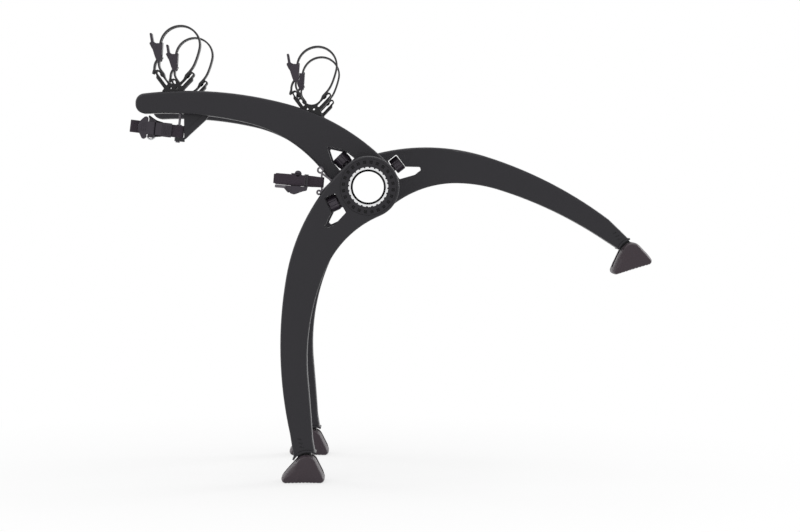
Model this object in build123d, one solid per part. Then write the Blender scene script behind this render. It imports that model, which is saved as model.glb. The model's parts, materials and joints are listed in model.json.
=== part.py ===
from build123d import *
from dataclasses import dataclass
from math import atan2, cos, degrees, hypot, radians, sin
import os

# Trunk mounted bike rack, in millimetres. The origin is on the main tube's axis, halfway along it.
# +X points to the car, +Y along the tube away from the viewer, and +Z up. The rack stands as in use:
# lower legs down, upper leg towards the car, arms out to the back.

# Main tube: a fluted extrusion that every beam turns on
tube_diameter = 63.5
tube_bore = 55.0
tube_length = 445.0
flute_count = 24
flute_radius = 1.6
flute_phase = 11.0

# Beams and their hubs
tube_end_proud = 2.5
beam_gap = 3.0
beam_width = 40.0
beam_edge_round = 4.0
hub_diameter = 99.0
hub_running_clearance = 0.08
leg_reach = 457.0
arm_reach = 381.0
arm_tip_round_share = 0.475
window_corner = 2.2

# Index rings on the tube's ends, sunk into the outer hubs
ring_diameter = 89.0
ring_thickness = 7.0
ring_gap = 0.3
ring_proud = 1.5
ring_seat_clearance = 0.1
ring_tooth_clearance = 0.2
pocket_circle = 79.4
pocket_size = 4.8
pocket_depth = 5.0
pocket_phase = 8.5

# Locks: a knob turns a captive stud, whose thread drives a toothed pawl into the flutes
lock_travel = 1.5
lock_stud_radius = 4.0
lock_stud_clearance = 0.2
lock_thread_clearance = 0.08
lock_collar_radius = 6.5
lock_collar_height = 1.2
lock_collar_gap = 0.3
lock_web = 3.6
knob_seat = 49.0
knob_seat_width = 30.0
knob_radius = 13.0
knob_height = 16.0
knob_neck_radius = 6.0
knob_neck_height = 4.2
knob_grip_count = 9
knob_grip_radius = 2.0
knob_crown = 1.8
pawl_length = 16.0
pawl_width = 22.4
pawl_height = 11.4
pawl_side_clearance = 0.2
pawl_tooth_radius = 1.2
pawl_tooth_count = 3
pawl_face_relief = 0.35

# Ankles and feet
foot_width = 60.0
foot_edge_round = 5.0
foot_sole_drop = 25.0
foot_head_radius = 18.0
foot_head_offset = -2.6
foot_toe = -41.5
foot_heel = 27.5
foot_corner = 6.5
ankle_socket_radius = 24.0
ankle_flange_thickness = 3.0
ankle_flange_proud = 1.5
ankle_flange_spread = 1.0
tongue_thickness = 18.0
tongue_radius = 11.0
tongue_length = 36.0
foot_slot_clearance = 0.4
foot_slot_floor_gap = 1.5
foot_pin_radius = 4.0
foot_pin_length = 44.0
pin_running_clearance = 0.06
grip_slot_length = 7.0
grip_slot_width = 2.4
grip_slot_depth = 1.2
grip_slot_pitch = 6.5
grip_slot_count = 3

# Cradles on the arms
cradle_width = 28.0
saddle_radius = 16.0
wing_rise = 55.0
wing_length = 15.0
wing_thickness = 12.0
wing_inner_wall = 2.2
wing_slot_width = 6.4
wing_slot_start = 1.5
cradle_tilt = -3.5
cradle_base_width = 37.0
cradle_base_depth = 16.0
cradle_base_shoulder = 3.0
cradle_plug_width = 14.0
cradle_plug_depth = 25.0
tie_hole_radius = 1.8
tie_hole_spread = 10.0
tie_hole_drop = 7.0
cradle_bolt_radius = 2.0
cradle_bolt_head_radius = 4.0
cradle_bolt_head_height = 3.5
cradle_bolt_clearance = 0.2
cradle_bolt_grip = 8.0
arm_cradle_shares = {"outer": -0.8189, "inner": -0.24147}
cradle_rise = 11.7

# Ladder straps, base straps and ratchet buckles
strap_width = 20.0
strap_thickness = 2.5
strap_gap = 0.05
loop_width = 66.0
loop_height = 96.0
strap_grip_radius = 2.2
rung_count = 9
rung_width = 10.0
rung_length = 2.6
button_radius = 2.4
button_head_radius = 3.4
button_head_height = 1.4
button_clearance = 0.1
button_rise = 11.6
strap_start = 9.2
buckle_side_gap = 0.3
buckle_wall = 2.0
buckle_floor = 1.4
buckle_pin_radius = 1.5
lever_side_gap = 0.4
knuckle_radius = 2.6

# Strap set under the near arm's tip
webbing_width = 20.0
webbing_thickness = 2.0
webbing_gap = 0.1
tip_pin_radius = 2.0
tip_bush_radius = 4.0
tip_pin_head = 3.5
tip_strap_drop = 27.0
tip_strap_tilt = 6.0
bracket_thickness = 8.0
bracket_rib_proud = 2.0
bracket_rib_width = 8.8
lug_radius = 5.5
lug_height = 7.0
cam_body_length = 22.0
cam_body_height = 24.8
cam_wall = 2.0
cam_plate_length = 15.6
cam_plate_thickness = 3.0
cam_rib_count = 5
cam_rib_proud = 1.0
cam_radius = 3.6
cam_pin_radius = 1.5
thumb_length = 15.5
thumb_thickness = 5.0
tip_tail_length = 78.0

# Strap set left of the hub, on the near lower leg
link_wire = 3.0
link_bead = 0.15
hub_webbing_width = 17.0
link_height = 29.0
link_eye_radius = 4.2
link_pin_length = 12.0
link_slot_clearance = 0.4
bundle_start = 28.8
bundle_length = 48.0
bundle_layers = 5
bundle_pitch = 2.9
band_thickness = 1.6
band_width = 16.0
band_gap = 0.3
band_place = 0.27
hub_cam_length = 32.0
hub_cam_height = 8.4
hub_cam_width = 25.0
hub_lever_length = 16.0
hub_cam_gap = 0.6

# How far a cutter runs past the face that it cuts
overrun = 1.0

tube_radius = tube_diameter / 2
hub_radius = hub_diameter / 2
hub_bore_radius = tube_radius + hub_running_clearance
ring_radius = ring_diameter / 2
leg_face = tube_length / 2 - tube_end_proud
leg_place = leg_face - beam_width / 2
arm_place = leg_place - beam_width - beam_gap
leg_planes = {"near": -leg_place, "far": leg_place}
arm_planes = {"near": -arm_place, "far": arm_place}
ring_face = leg_face + ring_proud
flute_pitch = 360 / flute_count


@dataclass(frozen=True)
class BeamShape:
    """A beam's side outline: where its two edges leave the hub, and the knots that they pass."""

    reach: float
    heading: float
    turn: int
    outer_angle: float
    outer_shares: tuple
    inner_angle: float
    inner_shares: tuple
    lock_angle: float
    window_shares: tuple


offset_window_shares = (
    (0.921, 0.596),
    (1.277, 0.711),
    (1.425, 0.215),
    (1.884, 0.037),
    (1.880, -0.069),
    (1.629, -0.150),
    (1.084, -0.111),
)
middle_window_shares = ((0.98, -0.36), (1.36, -0.31), (1.91, 0.05), (1.40, 0.29), (1.03, 0.32))

lower_leg_shape = BeamShape(
    reach=leg_reach,
    heading=223.0,
    turn=1,
    outer_angle=133.0,
    outer_shares=((-0.286, -0.312), (-0.2735, -0.862)),
    inner_angle=-67.4,
    inner_shares=((-0.149, -0.288), (-0.2107, -0.671), (-0.1947, -0.880)),
    lock_angle=205.0,
    window_shares=tuple((u, -v) for u, v in offset_window_shares),
)
upper_leg_shape = BeamShape(
    reach=leg_reach,
    heading=20.0,
    turn=-1,
    outer_angle=109.8,
    outer_shares=((0.430, 0.112), (0.883, -0.120)),
    inner_angle=-48.5,
    inner_shares=((0.3274, 0.0138), (0.4812, -0.0107), (0.8468, -0.1816)),
    lock_angle=38.0,
    window_shares=offset_window_shares,
)
arm_shape = BeamShape(
    reach=arm_reach,
    heading=134.0,
    turn=1,
    outer_angle=43.2,
    outer_shares=((-0.3396, 0.3496), (-0.9803, 0.3898)),
    inner_angle=204.6,
    inner_shares=((-0.3837, 0.2234), (-0.5236, 0.274), (-0.9803, 0.3068)),
    lock_angle=134.0,
    window_shares=middle_window_shares,
)


@dataclass(frozen=True)
class Ankle:
    """A leg's end: the foot pin's direction from the hub, and the span of the socket round it."""

    pin_angle: float
    outer_corner: float
    inner_corner: float
    foot_turn: float

    def pin(self):
        return polar(leg_reach, self.pin_angle)


lower_ankle = Ankle(pin_angle=-102.3, outer_corner=151.9, inner_corner=59.2, foot_turn=0.0)
upper_ankle = Ankle(pin_angle=-14.2, outer_corner=101.4, inner_corner=161.8, foot_turn=17.0)


# Plane geometry


def polar(radius, angle):
    return (radius * cos(radians(angle)), radius * sin(radians(angle)))


def plus(point, step):
    return (point[0] + step[0], point[1] + step[1])


def scaled(shares, width, height):
    return [(width * u, height * v) for u, v in shares]


def reflected(heading, chord):
    """The heading at an arc's end, from the heading at its start and its chord."""
    along = heading[0] * chord[0] + heading[1] * chord[1]
    square = chord[0] ** 2 + chord[1] ** 2
    return (2 * along * chord[0] / square - heading[0], 2 * along * chord[1] / square - heading[1])


def tangent_path(start, heading, knots):
    """Each piece of a smooth path through the knots, as its start, end and the headings there."""
    pieces = []
    for knot in knots:
        chord = (knot[0] - start[0], knot[1] - start[1])
        arrival = reflected(heading, chord)
        pieces.append((start, knot, heading, arrival))
        start, heading = knot, arrival
    return pieces


def smooth_edge(start, end, heading):
    """A line where the end lies straight ahead, and otherwise the arc that leaves along heading."""
    chord = (end[0] - start[0], end[1] - start[1])
    turn = (heading[0] * chord[1] - heading[1] * chord[0]) / hypot(*chord)
    if abs(turn) < straight_limit:
        return Line(start, end)
    return TangentArc(start, end, tangent=heading)


straight_limit = 1e-4


def path_edges(pieces):
    return [smooth_edge(start, end, heading) for start, end, heading, _ in pieces]


def beside(point, heading, offset):
    """The point that lies offset to the left of point, as seen along heading."""
    return (point[0] - heading[1] * offset, point[1] + heading[0] * offset)


def ribbon(start, heading, knots, thickness):
    """A strip of even thickness along a smooth path."""
    pieces = tangent_path(start, heading, knots)
    edges = []
    ends = []
    for offset in (thickness / 2, -thickness / 2):
        side = [(beside(a, h, offset), beside(b, k, offset), h) for a, b, h, k in pieces]
        edges += [smooth_edge(a, b, h) for a, b, h in side]
        ends.append((side[0][0], side[-1][1]))
    edges += [Line(ends[0][0], ends[1][0]), Line(ends[0][1], ends[1][1])]
    return make_face(edges)


def capsule(start, end, radius):
    return make_hull((Pos(*start) * Circle(radius)).edges() + (Pos(*end) * Circle(radius)).edges())


def rounded_polygon(points, radius):
    face = Polygon(*points, align=None)
    return fillet(face.vertices(), radius)


# Placing


def side_plane(y):
    """The plane across the tube at y, with its own x along X and its own y along Z."""
    return Plane(origin=(0, y, 0), x_dir=(1, 0, 0), z_dir=(0, -1, 0))


def slab(face, centre_y, width):
    return extrude(side_plane(centre_y) * face, amount=width / 2, both=True)


def radial_plane(angle, y):
    """A plane on the tube's axis whose normal points outwards at angle, with its own x along Y."""
    return Plane(origin=(0, y, 0), x_dir=(0, 1, 0), z_dir=(cos(radians(angle)), 0, sin(radians(angle))))


def rod(plane, radius, start, end):
    """A round bar along the plane's normal, from start to end."""
    upright = (Align.CENTER, Align.CENTER, Align.MIN)
    return plane * Pos(0, 0, start) * Cylinder(radius, end - start, align=upright)


def bar(plane, x_size, y_size, start, end):
    """A square bar along the plane's normal, from start to end."""
    upright = (Align.CENTER, Align.CENTER, Align.MIN)
    return plane * Pos(0, 0, start) * Box(x_size, y_size, end - start, align=upright)


def across(point, y):
    """The side plane at y, with its origin at a point of it."""
    return side_plane(y) * Pos(*point)


def pin_across(point, centre_y, radius, length):
    return slab(Pos(*point) * Circle(radius), centre_y, length)


# Tube and rings


def main_tube():
    section = Circle(tube_radius) - Circle(tube_bore / 2)
    section -= PolarLocations(tube_radius, flute_count, start_angle=flute_phase) * Circle(flute_radius)
    return slab(section, 0, tube_length)


def index_ring(side):
    """A toothed ring with square pockets, on the tube's end and inside the outer hub's recess."""
    tooth = Circle(flute_radius - ring_tooth_clearance)
    section = Circle(ring_radius) - Circle(tube_radius + ring_seat_clearance)
    section += PolarLocations(tube_radius, flute_count, start_angle=flute_phase) * tooth
    ring = slab(section, side * (ring_face - ring_thickness / 2), ring_thickness)
    places = PolarLocations(pocket_circle / 2, flute_count, start_angle=pocket_phase)
    pockets = Sketch() + places * Rectangle(pocket_size, pocket_size)
    return ring - slab(pockets, side * ring_face, 2 * pocket_depth)


def ring_recess(side):
    depth = ring_thickness - ring_proud + ring_gap
    return slab(Circle(ring_radius + ring_gap), side * leg_face, 2 * depth)


# Beams


def beam_outline(shape, closing):
    """The side outline: round the hub's free side, and out along both edges to the closing edges."""
    outer_start = polar(hub_radius, shape.outer_angle)
    inner_start = polar(hub_radius, shape.inner_angle)
    outer_heading = polar(1, shape.outer_angle + 90 * shape.turn)
    inner_heading = polar(1, shape.inner_angle - 90 * shape.turn)
    middle = plus(outer_start, inner_start)
    free_side = polar(-hub_radius, degrees(atan2(middle[1], middle[0])))
    outer_knots = scaled(shape.outer_shares, shape.reach, shape.reach)
    inner_knots = scaled(shape.inner_shares, shape.reach, shape.reach)
    edges = path_edges(tangent_path(outer_start, outer_heading, outer_knots))
    edges += path_edges(tangent_path(inner_start, inner_heading, inner_knots))
    edges.append(ThreePointArc(outer_start, free_side, inner_start))
    return make_face(edges + closing(outer_knots[-1], inner_knots[-1]))


def straight_end(outer_end, inner_end):
    return [Line(outer_end, inner_end)]


def arm_outline():
    """The arm's side outline, its tip rounded almost to a half circle."""
    outline = beam_outline(arm_shape, straight_end)
    tip_height = arm_reach * (arm_shape.outer_shares[-1][1] - arm_shape.inner_shares[-1][1])
    return fillet(outline.vertices().group_by(Axis.X)[0], tip_height * arm_tip_round_share)


def socket_end(ankle):
    """Closing edges that end a leg in a hollow arc round its foot pin."""

    def closing(outer_end, inner_end):
        outer_corner = plus(ankle.pin(), polar(ankle_socket_radius, ankle.outer_corner))
        inner_corner = plus(ankle.pin(), polar(ankle_socket_radius, ankle.inner_corner))
        middle_angle = (ankle.outer_corner + ankle.inner_corner) / 2
        crown = plus(ankle.pin(), polar(ankle_socket_radius, middle_angle))
        return [
            Line(outer_end, outer_corner),
            ThreePointArc(outer_corner, crown, inner_corner),
            Line(inner_corner, inner_end),
        ]

    return closing


def rounded_slab(face, centre_y, width, radius):
    """A slab with its rims rounded on both sides."""
    body = slab(face, centre_y, width)
    rims = body.edges().group_by(Axis.Y)
    return fillet(rims[0] + rims[-1], radius)


def lock_room(shape, centre_y):
    """What a beam gives up to its lock: window, knob seat, stud hole and pawl channel."""
    window = rounded_polygon(scaled(shape.window_shares, hub_radius, hub_radius), window_corner)
    window = slab(Rot(0, 0, shape.heading) * window, centre_y, beam_width + 2 * overrun)
    plane = radial_plane(shape.lock_angle, centre_y)
    knob_top = knob_seat + knob_neck_height + knob_height
    seat = rod(plane, knob_seat_width / 2, knob_seat, knob_top + knob_neck_height)
    hole = rod(plane, lock_stud_radius + lock_stud_clearance, tube_radius, knob_seat + overrun)
    grown = 2 * pawl_side_clearance
    channel = bar(plane, pawl_length + grown, pawl_width + grown, 0, knob_seat - lock_web)
    bore = slab(Circle(hub_bore_radius), centre_y, beam_width + 2 * overrun)
    return window + seat + hole + channel + bore


def beam(outline, shape, centre_y):
    body = rounded_slab(outline, centre_y, beam_width, beam_edge_round)
    return body - lock_room(shape, centre_y)


def arm_body(centre_y):
    return rounded_slab(arm_outline(), centre_y, beam_width, beam_edge_round)


def ankle_parts(ankle, centre_y):
    """The flange round the socket, and the tongue that goes down into the foot."""
    first = ankle_socket_radius
    last = ankle_socket_radius + ankle_flange_thickness
    low, high = sorted((ankle.outer_corner, ankle.inner_corner))
    low, high = low - ankle_flange_spread, high + ankle_flange_spread
    middle = (low + high) / 2
    flange = make_face(
        [
            ThreePointArc(polar(first, low), polar(first, middle), polar(first, high)),
            Line(polar(first, high), polar(last, high)),
            ThreePointArc(polar(last, high), polar(last, middle), polar(last, low)),
            Line(polar(last, low), polar(first, low)),
        ]
    )
    tongue = capsule((0, 0), polar(tongue_length, middle), tongue_radius)
    place = Pos(*ankle.pin())
    parts = slab(place * flange, centre_y, beam_width + 2 * ankle_flange_proud)
    parts += slab(place * tongue, centre_y, tongue_thickness)
    return parts - pin_across(
        ankle.pin(), centre_y, foot_pin_radius + pin_running_clearance, tongue_thickness + 2 * overrun
    )


def grip_slots(ankle, centre_y):
    """Rows of short recesses on both sides of a leg, just above its ankle."""
    middle = (ankle.outer_corner + ankle.inner_corner) / 2
    first = ankle_socket_radius + ankle_flange_thickness + grip_slot_pitch
    marks = Sketch()
    for row in range(grip_slot_count):
        place = Rot(0, 0, middle) * Pos(first + row * grip_slot_pitch, 0) * Rot(0, 0, middle / 2)
        marks += place * SlotOverall(grip_slot_length, grip_slot_width)
    marks = Pos(*ankle.pin()) * marks
    near = slab(marks, centre_y - beam_width / 2, 2 * grip_slot_depth)
    far = slab(marks, centre_y + beam_width / 2, 2 * grip_slot_depth)
    return near + far


def leg(shape, ankle, centre_y):
    body = beam(beam_outline(shape, socket_end(ankle)), shape, centre_y)
    body += ankle_parts(ankle, centre_y)
    return body - grip_slots(ankle, centre_y)


def lower_leg(side_name):
    side = 1 if side_name == "far" else -1
    body = leg(lower_leg_shape, lower_ankle, leg_planes[side_name]) - ring_recess(side)
    if side_name == "near":
        body -= link_room()
    return body


def cradle_places():
    """The place of each cradle's saddle, a rise above the arm's upper edge."""
    outline = arm_outline()
    places = {}
    for place, share in arm_cradle_shares.items():
        x = arm_reach * share
        upright = Edge.make_line((x, -arm_reach), (x, arm_reach))
        places[place] = (x, (upright & outline).bounding_box().max.Y + cradle_rise)
    return places


def arm(side_name):
    y = arm_planes[side_name]
    body = arm_body(y) - lock_room(arm_shape, y)
    for x, z in cradle_places().values():
        body -= cradle_plug(x, z, y)
        body -= cradle_bolt(x, z, y, cradle_bolt_clearance, arm_reach / 2)
    if side_name == "near":
        body -= tip_pin()
    return body


# Locks


def lock_knob(shape, centre_y):
    """A fluted hand knob with a neck, its crown rounded, and a blind hole for the stud."""
    plane = radial_plane(shape.lock_angle, centre_y)
    base = knob_seat + lock_collar_gap
    shoulder = base + knob_neck_height
    top = shoulder + knob_height
    disc = rod(plane, knob_radius, shoulder, top)
    rims = disc.edges().filter_by(GeomType.CIRCLE)
    disc = fillet(rims, knob_crown)
    for index in range(knob_grip_count):
        place = Pos(*polar(knob_radius + knob_grip_radius / 2, 360 * index / knob_grip_count))
        disc -= rod(plane * place, knob_grip_radius, shoulder - overrun, top + overrun)
    knob = disc + rod(plane, knob_neck_radius, base, shoulder + knob_crown)
    return knob - rod(plane, lock_stud_radius, base - overrun, (shoulder + top) / 2)


def lock_stud(shape, centre_y):
    """The threaded stud and the collar that keeps it in the hub's wall."""
    plane = radial_plane(shape.lock_angle, centre_y)
    knob_middle = knob_seat + lock_collar_gap + knob_neck_height + knob_height / 2
    collar_top = knob_seat - lock_web - lock_collar_gap
    tip = tube_radius + lock_travel + flute_radius
    stud = rod(plane, lock_stud_radius, tip, knob_middle)
    return stud + rod(plane, lock_collar_radius, collar_top - lock_collar_height, collar_top)


def lock_pawl(shape, centre_y):
    """The toothed block, drawn back by its travel so that the beam is free to turn."""
    plane = radial_plane(shape.lock_angle, centre_y)
    collar_bottom = knob_seat - lock_web - lock_collar_gap - lock_collar_height
    top = collar_bottom - lock_collar_gap
    block = bar(plane, pawl_length, pawl_width, top - pawl_height, top)
    axis_shift = polar(lock_travel, shape.lock_angle)
    face_radius = tube_radius + pawl_face_relief
    block -= slab(Pos(*axis_shift) * Circle(face_radius), centre_y, pawl_length + 2 * overrun)
    middle_flute = round((shape.lock_angle - flute_phase) / flute_pitch)
    for index in range(pawl_tooth_count):
        flute = middle_flute + index - (pawl_tooth_count - 1) / 2
        place = plus(polar(tube_radius, flute_phase + flute * flute_pitch), axis_shift)
        block += pin_across(place, centre_y, pawl_tooth_radius, pawl_length)
    hole_radius = lock_stud_radius + lock_thread_clearance
    return block - rod(plane, hole_radius, tube_radius, top + overrun)


# Feet


def foot(ankle, centre_y):
    """A rubber foot, wider than the leg, with a slot for the leg's tongue."""
    low = foot_corner - foot_sole_drop
    circles = Pos(foot_head_offset, 0) * Circle(foot_head_radius)
    circles += Pos(foot_toe + foot_corner, low) * Circle(foot_corner)
    circles += Pos(foot_heel - foot_corner, low) * Circle(foot_corner)
    outline = make_hull(circles.edges())
    place = Pos(*ankle.pin()) * Rot(0, 0, ankle.foot_turn)
    body = rounded_slab(place * outline, centre_y, foot_width, foot_edge_round)
    floor = -tongue_radius - foot_slot_floor_gap
    room = Pos(0, floor) * Rectangle(
        2 * foot_width, foot_width, align=(Align.CENTER, Align.MIN)
    )
    body -= slab(place * room, centre_y, tongue_thickness + 2 * foot_slot_clearance)
    return body - foot_pin(ankle, centre_y)


def foot_pin(ankle, centre_y):
    return pin_across(ankle.pin(), centre_y, foot_pin_radius, foot_pin_length)


# Cradles, with places given from the saddle's lowest point


wing_foot = (saddle_radius * sin(radians(wing_rise)), saddle_radius * (1 - cos(radians(wing_rise))))
wing_way = polar(1, wing_rise)
wing_out = polar(1, wing_rise - 90)


def on_wing(along, out):
    """A point of the right wing: along its inner face, and out from that face."""
    return (
        wing_foot[0] + wing_way[0] * along + wing_out[0] * out,
        wing_foot[1] + wing_way[1] * along + wing_out[1] * out,
    )


def mirrored(point):
    return (-point[0], point[1])


def same(point):
    return point


def cradle_section():
    """Base block and two slotted wings, round a part-circle saddle."""
    half = cradle_base_width / 2
    tip = wing_thickness / 2
    right = [
        on_wing(0, 0),
        on_wing(wing_length, 0),
        on_wing(wing_length + tip, tip),
        on_wing(wing_length, wing_thickness),
        on_wing(0, wing_thickness),
        (half, -cradle_base_shoulder),
        (half, -cradle_base_depth),
    ]
    edges = [Line(right[-1], mirrored(right[-1])), ThreePointArc(right[0], (0, 0), mirrored(right[0]))]
    for flip in (same, mirrored):
        top, rise, crown, turn, root, shoulder, heel = [flip(point) for point in right]
        edges += [Line(top, rise), ThreePointArc(rise, crown, turn), Line(turn, root)]
        edges += [Line(root, shoulder), Line(shoulder, heel)]
    section = make_face(edges)
    out = wing_inner_wall + wing_slot_width / 2
    for flip in (same, mirrored):
        ends = [flip(on_wing(along, out)) for along in (wing_slot_start, wing_length)]
        section -= capsule(ends[0], ends[1], wing_slot_width / 2)
        section -= Pos(*flip((tie_hole_spread / 2, -tie_hole_drop))) * Circle(tie_hole_radius)
    return section


def saddle_place(x, z):
    return Pos(x, z) * Rot(0, 0, cradle_tilt)


def cradle_plug(x, z, y):
    """The square plug below a cradle, that fills its socket in the arm."""
    top = -tie_hole_drop - 1.5 * tie_hole_radius
    bottom = -cradle_plug_depth - cradle_base_depth / 4
    plug = Pos(0, (top + bottom) / 2) * Rectangle(cradle_plug_width, top - bottom)
    return slab(saddle_place(x, z) * plug, y, cradle_plug_width)


def cradle_bolt(x, z, y, clearance=0.0, access=0.0):
    """The bolt that holds a cradle, its head at the end of a deep hole in the arm's underside."""
    plane = side_plane(y) * saddle_place(x, z) * Rot(-90, 0, 0)
    head = cradle_plug_depth + cradle_base_depth / 4 + cradle_bolt_grip
    bolt = rod(plane, cradle_bolt_radius + clearance, -head, -cradle_base_depth + cradle_bolt_radius)
    end = -head - cradle_bolt_head_height - access
    return bolt + rod(plane, cradle_bolt_head_radius + clearance, end, -head)


def cradle(x, z, y):
    body = slab(saddle_place(x, z) * cradle_section(), y, cradle_width)
    body -= arm_body(y)
    body = body + cradle_plug(x, z, y) - cradle_bolt(x, z, y)
    for flip in (same, mirrored):
        body -= wing_button(x, z, y, flip, button_clearance)
    return body


# Ladder strap and base strap


def strap_on_wing(along):
    return on_wing(along, -strap_gap - strap_thickness / 2)


loop_shares = ((0.477, 0.365), (0.598, 0.625), (0.121, 0.996), (-0.382, 0.677), (-0.397, 0.521))
tail_shares = ((-0.447, 0.385), (-0.527, 0.229), (-0.561, 0.151))
knuckle_shares = (-0.362, 0.427)


def wing_button(x, z, y, flip, clearance):
    """The button at a strap's end: a stem through the wing's inner wall, and a head in its slot."""
    foot_point = flip(on_wing(button_rise, -strap_gap - strap_thickness / 2))
    out = flip(wing_out)
    angle = degrees(atan2(out[1], out[0]))
    stem = strap_thickness / 2 + strap_gap + wing_inner_wall
    place = side_plane(y) * saddle_place(x, z) * Pos(*foot_point) * Rot(0, 0, angle) * Rot(0, 90, 0)
    upright = (Align.CENTER, Align.CENTER, Align.MIN)
    button = place * Cylinder(button_radius + clearance, stem + button_head_height, align=upright)
    if clearance == 0:
        button += place * Pos(0, 0, stem) * Cylinder(
            button_head_radius, button_head_height, align=upright
        )
    return button


def ladder_path():
    knots = [strap_on_wing(wing_length)]
    knots += scaled(loop_shares + tail_shares, loop_width, loop_height)
    return strap_on_wing(strap_start), wing_way, knots


def ladder_strap(x, z, y):
    """The long strap: up the right wing, over the bike's tube, through the buckle to its free end."""
    start, heading, knots = ladder_path()
    place = saddle_place(x, z)
    body = slab(place * ribbon(start, heading, knots, strap_thickness), y, strap_width)
    grip = capsule(knots[-2], knots[-1], strap_grip_radius)
    grip -= Pos(*knots[-2]) * Rectangle(loop_width, loop_width, align=(Align.CENTER, Align.MIN))
    body += slab(place * grip, y, strap_width)
    body += wing_button(x, z, y, same, 0)
    return body - rung_holes(x, z, y)


def rung_holes(x, z, y):
    """The ladder's openings, evenly spaced along the arc that runs down to the buckle."""
    start, heading, knots = ladder_path()
    pieces = tangent_path(start, heading, knots)
    a, b, h, _ = pieces[4]
    arc = smooth_edge(a, b, h)
    holes = Sketch()
    for index in range(rung_count):
        share = (index + 1) / (rung_count + 1)
        point, way = arc @ share, arc % share
        turn = degrees(atan2(way.Y, way.X))
        holes += Pos(point.X, point.Y) * Rot(0, 0, turn) * Rectangle(rung_length, 2 * strap_thickness)
    return slab(saddle_place(x, z) * holes, y, rung_width)


def base_strap(x, z, y):
    """The short strap that ties the buckle's knuckle to the left wing."""
    knuckle = (knuckle_shares[0] * loop_width, knuckle_shares[1] * loop_height)
    start = mirrored(strap_on_wing(strap_start))
    body = ribbon(start, mirrored(wing_way), [mirrored(strap_on_wing(wing_length)), knuckle], strap_thickness)
    body += Pos(*knuckle) * Circle(knuckle_radius)
    body -= Pos(*knuckle) * Circle(buckle_pin_radius)
    strap = slab(saddle_place(x, z) * body, y, strap_width)
    return strap + wing_button(x, z, y, mirrored, 0)


# Ratchet buckle


lever_pivot_shares = (-0.508, 0.594)
cheek_shares = ((-0.342, 0.682), (-0.545, 0.635), (-0.563, 0.573), (-0.462, 0.401), (-0.336, 0.393))
floor_shares = ((-0.359, 0.682), (-0.359, 0.479), (-0.338, 0.479), (-0.338, 0.682))
lever_shares = (
    (-0.464, 0.578),
    (-0.414, 0.664),
    (-0.523, 0.696),
    (-0.564, 0.849),
    (-0.597, 0.844),
    (-0.573, 0.698),
    (-0.606, 0.690),
    (-0.552, 0.583),
)


def loop_points(shares):
    return scaled(shares, loop_width, loop_height)


def lever_pivot():
    return loop_points([lever_pivot_shares])[0]


def knuckle_point():
    return loop_points([knuckle_shares])[0]


def buckle_base(x, z, y):
    """Two cheeks joined by a floor that the ladder strap runs along."""
    place = saddle_place(x, z)
    inner = strap_width / 2 + buckle_side_gap
    cheek = place * Polygon(*loop_points(cheek_shares), align=None)
    cheek_offset = inner + buckle_wall / 2
    body = slab(place * Polygon(*loop_points(floor_shares), align=None), y, 2 * inner + buckle_wall)
    body += slab(cheek, y - cheek_offset, buckle_wall) + slab(cheek, y + cheek_offset, buckle_wall)
    return body - buckle_pins(x, z, y)


def buckle_pins(x, z, y):
    length = strap_width + 2 * buckle_side_gap + 2 * buckle_wall
    place = saddle_place(x, z)
    pins = [place * Pos(*point) * Circle(buckle_pin_radius) for point in (lever_pivot(), knuckle_point())]
    return slab(pins[0], y, length) + slab(pins[1], y, length)


def buckle_lever(x, z, y):
    """The ratchet lever: a wedge between the cheeks that ends in a thin pull tab."""
    place = saddle_place(x, z)
    outline = Polygon(*loop_points(lever_shares), align=None)
    outline += Pos(*lever_pivot()) * Circle(2 * buckle_pin_radius)
    outline -= Pos(*lever_pivot()) * Circle(buckle_pin_radius + pin_running_clearance)
    width = strap_width + 2 * buckle_side_gap - 2 * lever_side_gap
    return slab(place * outline, y, width)


# Strap set under the near arm's tip, with places given from the pin at the webbing's middle


tip_pin_shares = (-0.8018, 0.3085)
tip_y = arm_planes["near"]


def tip_point(dx, dz):
    return (tip_pin_shares[0] * arm_reach + dx, tip_pin_shares[1] * arm_reach - tip_strap_drop + dz)


bracket_shares = ((0.33, 1.35), (0.33, -0.50), (0.41, -0.50), (1.80, 0.86), (1.80, 1.35))
bracket_rib_shares = ((0.52, -0.16), (1.52, 0.76))


def tip_place():
    """The pin's middle, with the strap set's own tilt about the tube's direction."""
    x, z = tip_point(0, 0)
    return Pos(x, tip_y, z) * Rot(0, tip_strap_tilt, 0)


def tip_bracket():
    """A gusset moulded to the arm's underside, with a raised rib and a lug that holds the pin."""
    corners = [tip_point(u * tip_strap_drop, v * tip_strap_drop) for u, v in bracket_shares]
    body = slab(Polygon(*corners, align=None), tip_y, bracket_thickness)
    ends = [tip_point(u * tip_strap_drop, v * tip_strap_drop) for u, v in bracket_rib_shares]
    rib = capsule(ends[0], ends[1], bracket_rib_width / 2)
    body += slab(rib, tip_y, bracket_thickness + 2 * bracket_rib_proud)
    body -= arm_body(tip_y)
    body += tip_lug()
    return body - tip_pin()


def tip_lug():
    place = tip_place() * Pos(0, 0, -webbing_width / 2 - webbing_gap)
    lug = rod(place, lug_radius, -lug_height, 0)
    reach = tip_strap_drop * bracket_shares[2][0]
    corner = (Align.MIN, Align.CENTER, Align.MAX)
    return lug + place * Box(reach, bracket_thickness, lug_height, align=corner)


def tip_pin():
    """The pin with its bush, from a blind hole in the arm down to the lug."""
    low = -webbing_width / 2 - webbing_gap - lug_height
    pin = rod(tip_place(), tip_pin_radius, low, tip_strap_drop + tip_bush_radius)
    pin += rod(tip_place(), tip_bush_radius, -webbing_width / 2, webbing_width / 2)
    return pin + rod(tip_place(), tip_pin_head, low - tip_pin_radius, low)


def plan_slab(face, place, height):
    """A flat shape drawn in plan at a place, given height up and down."""
    return extrude(place * face, amount=height / 2, both=True)


def tip_turn_radius():
    return tip_bush_radius + webbing_gap + webbing_thickness / 2


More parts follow.
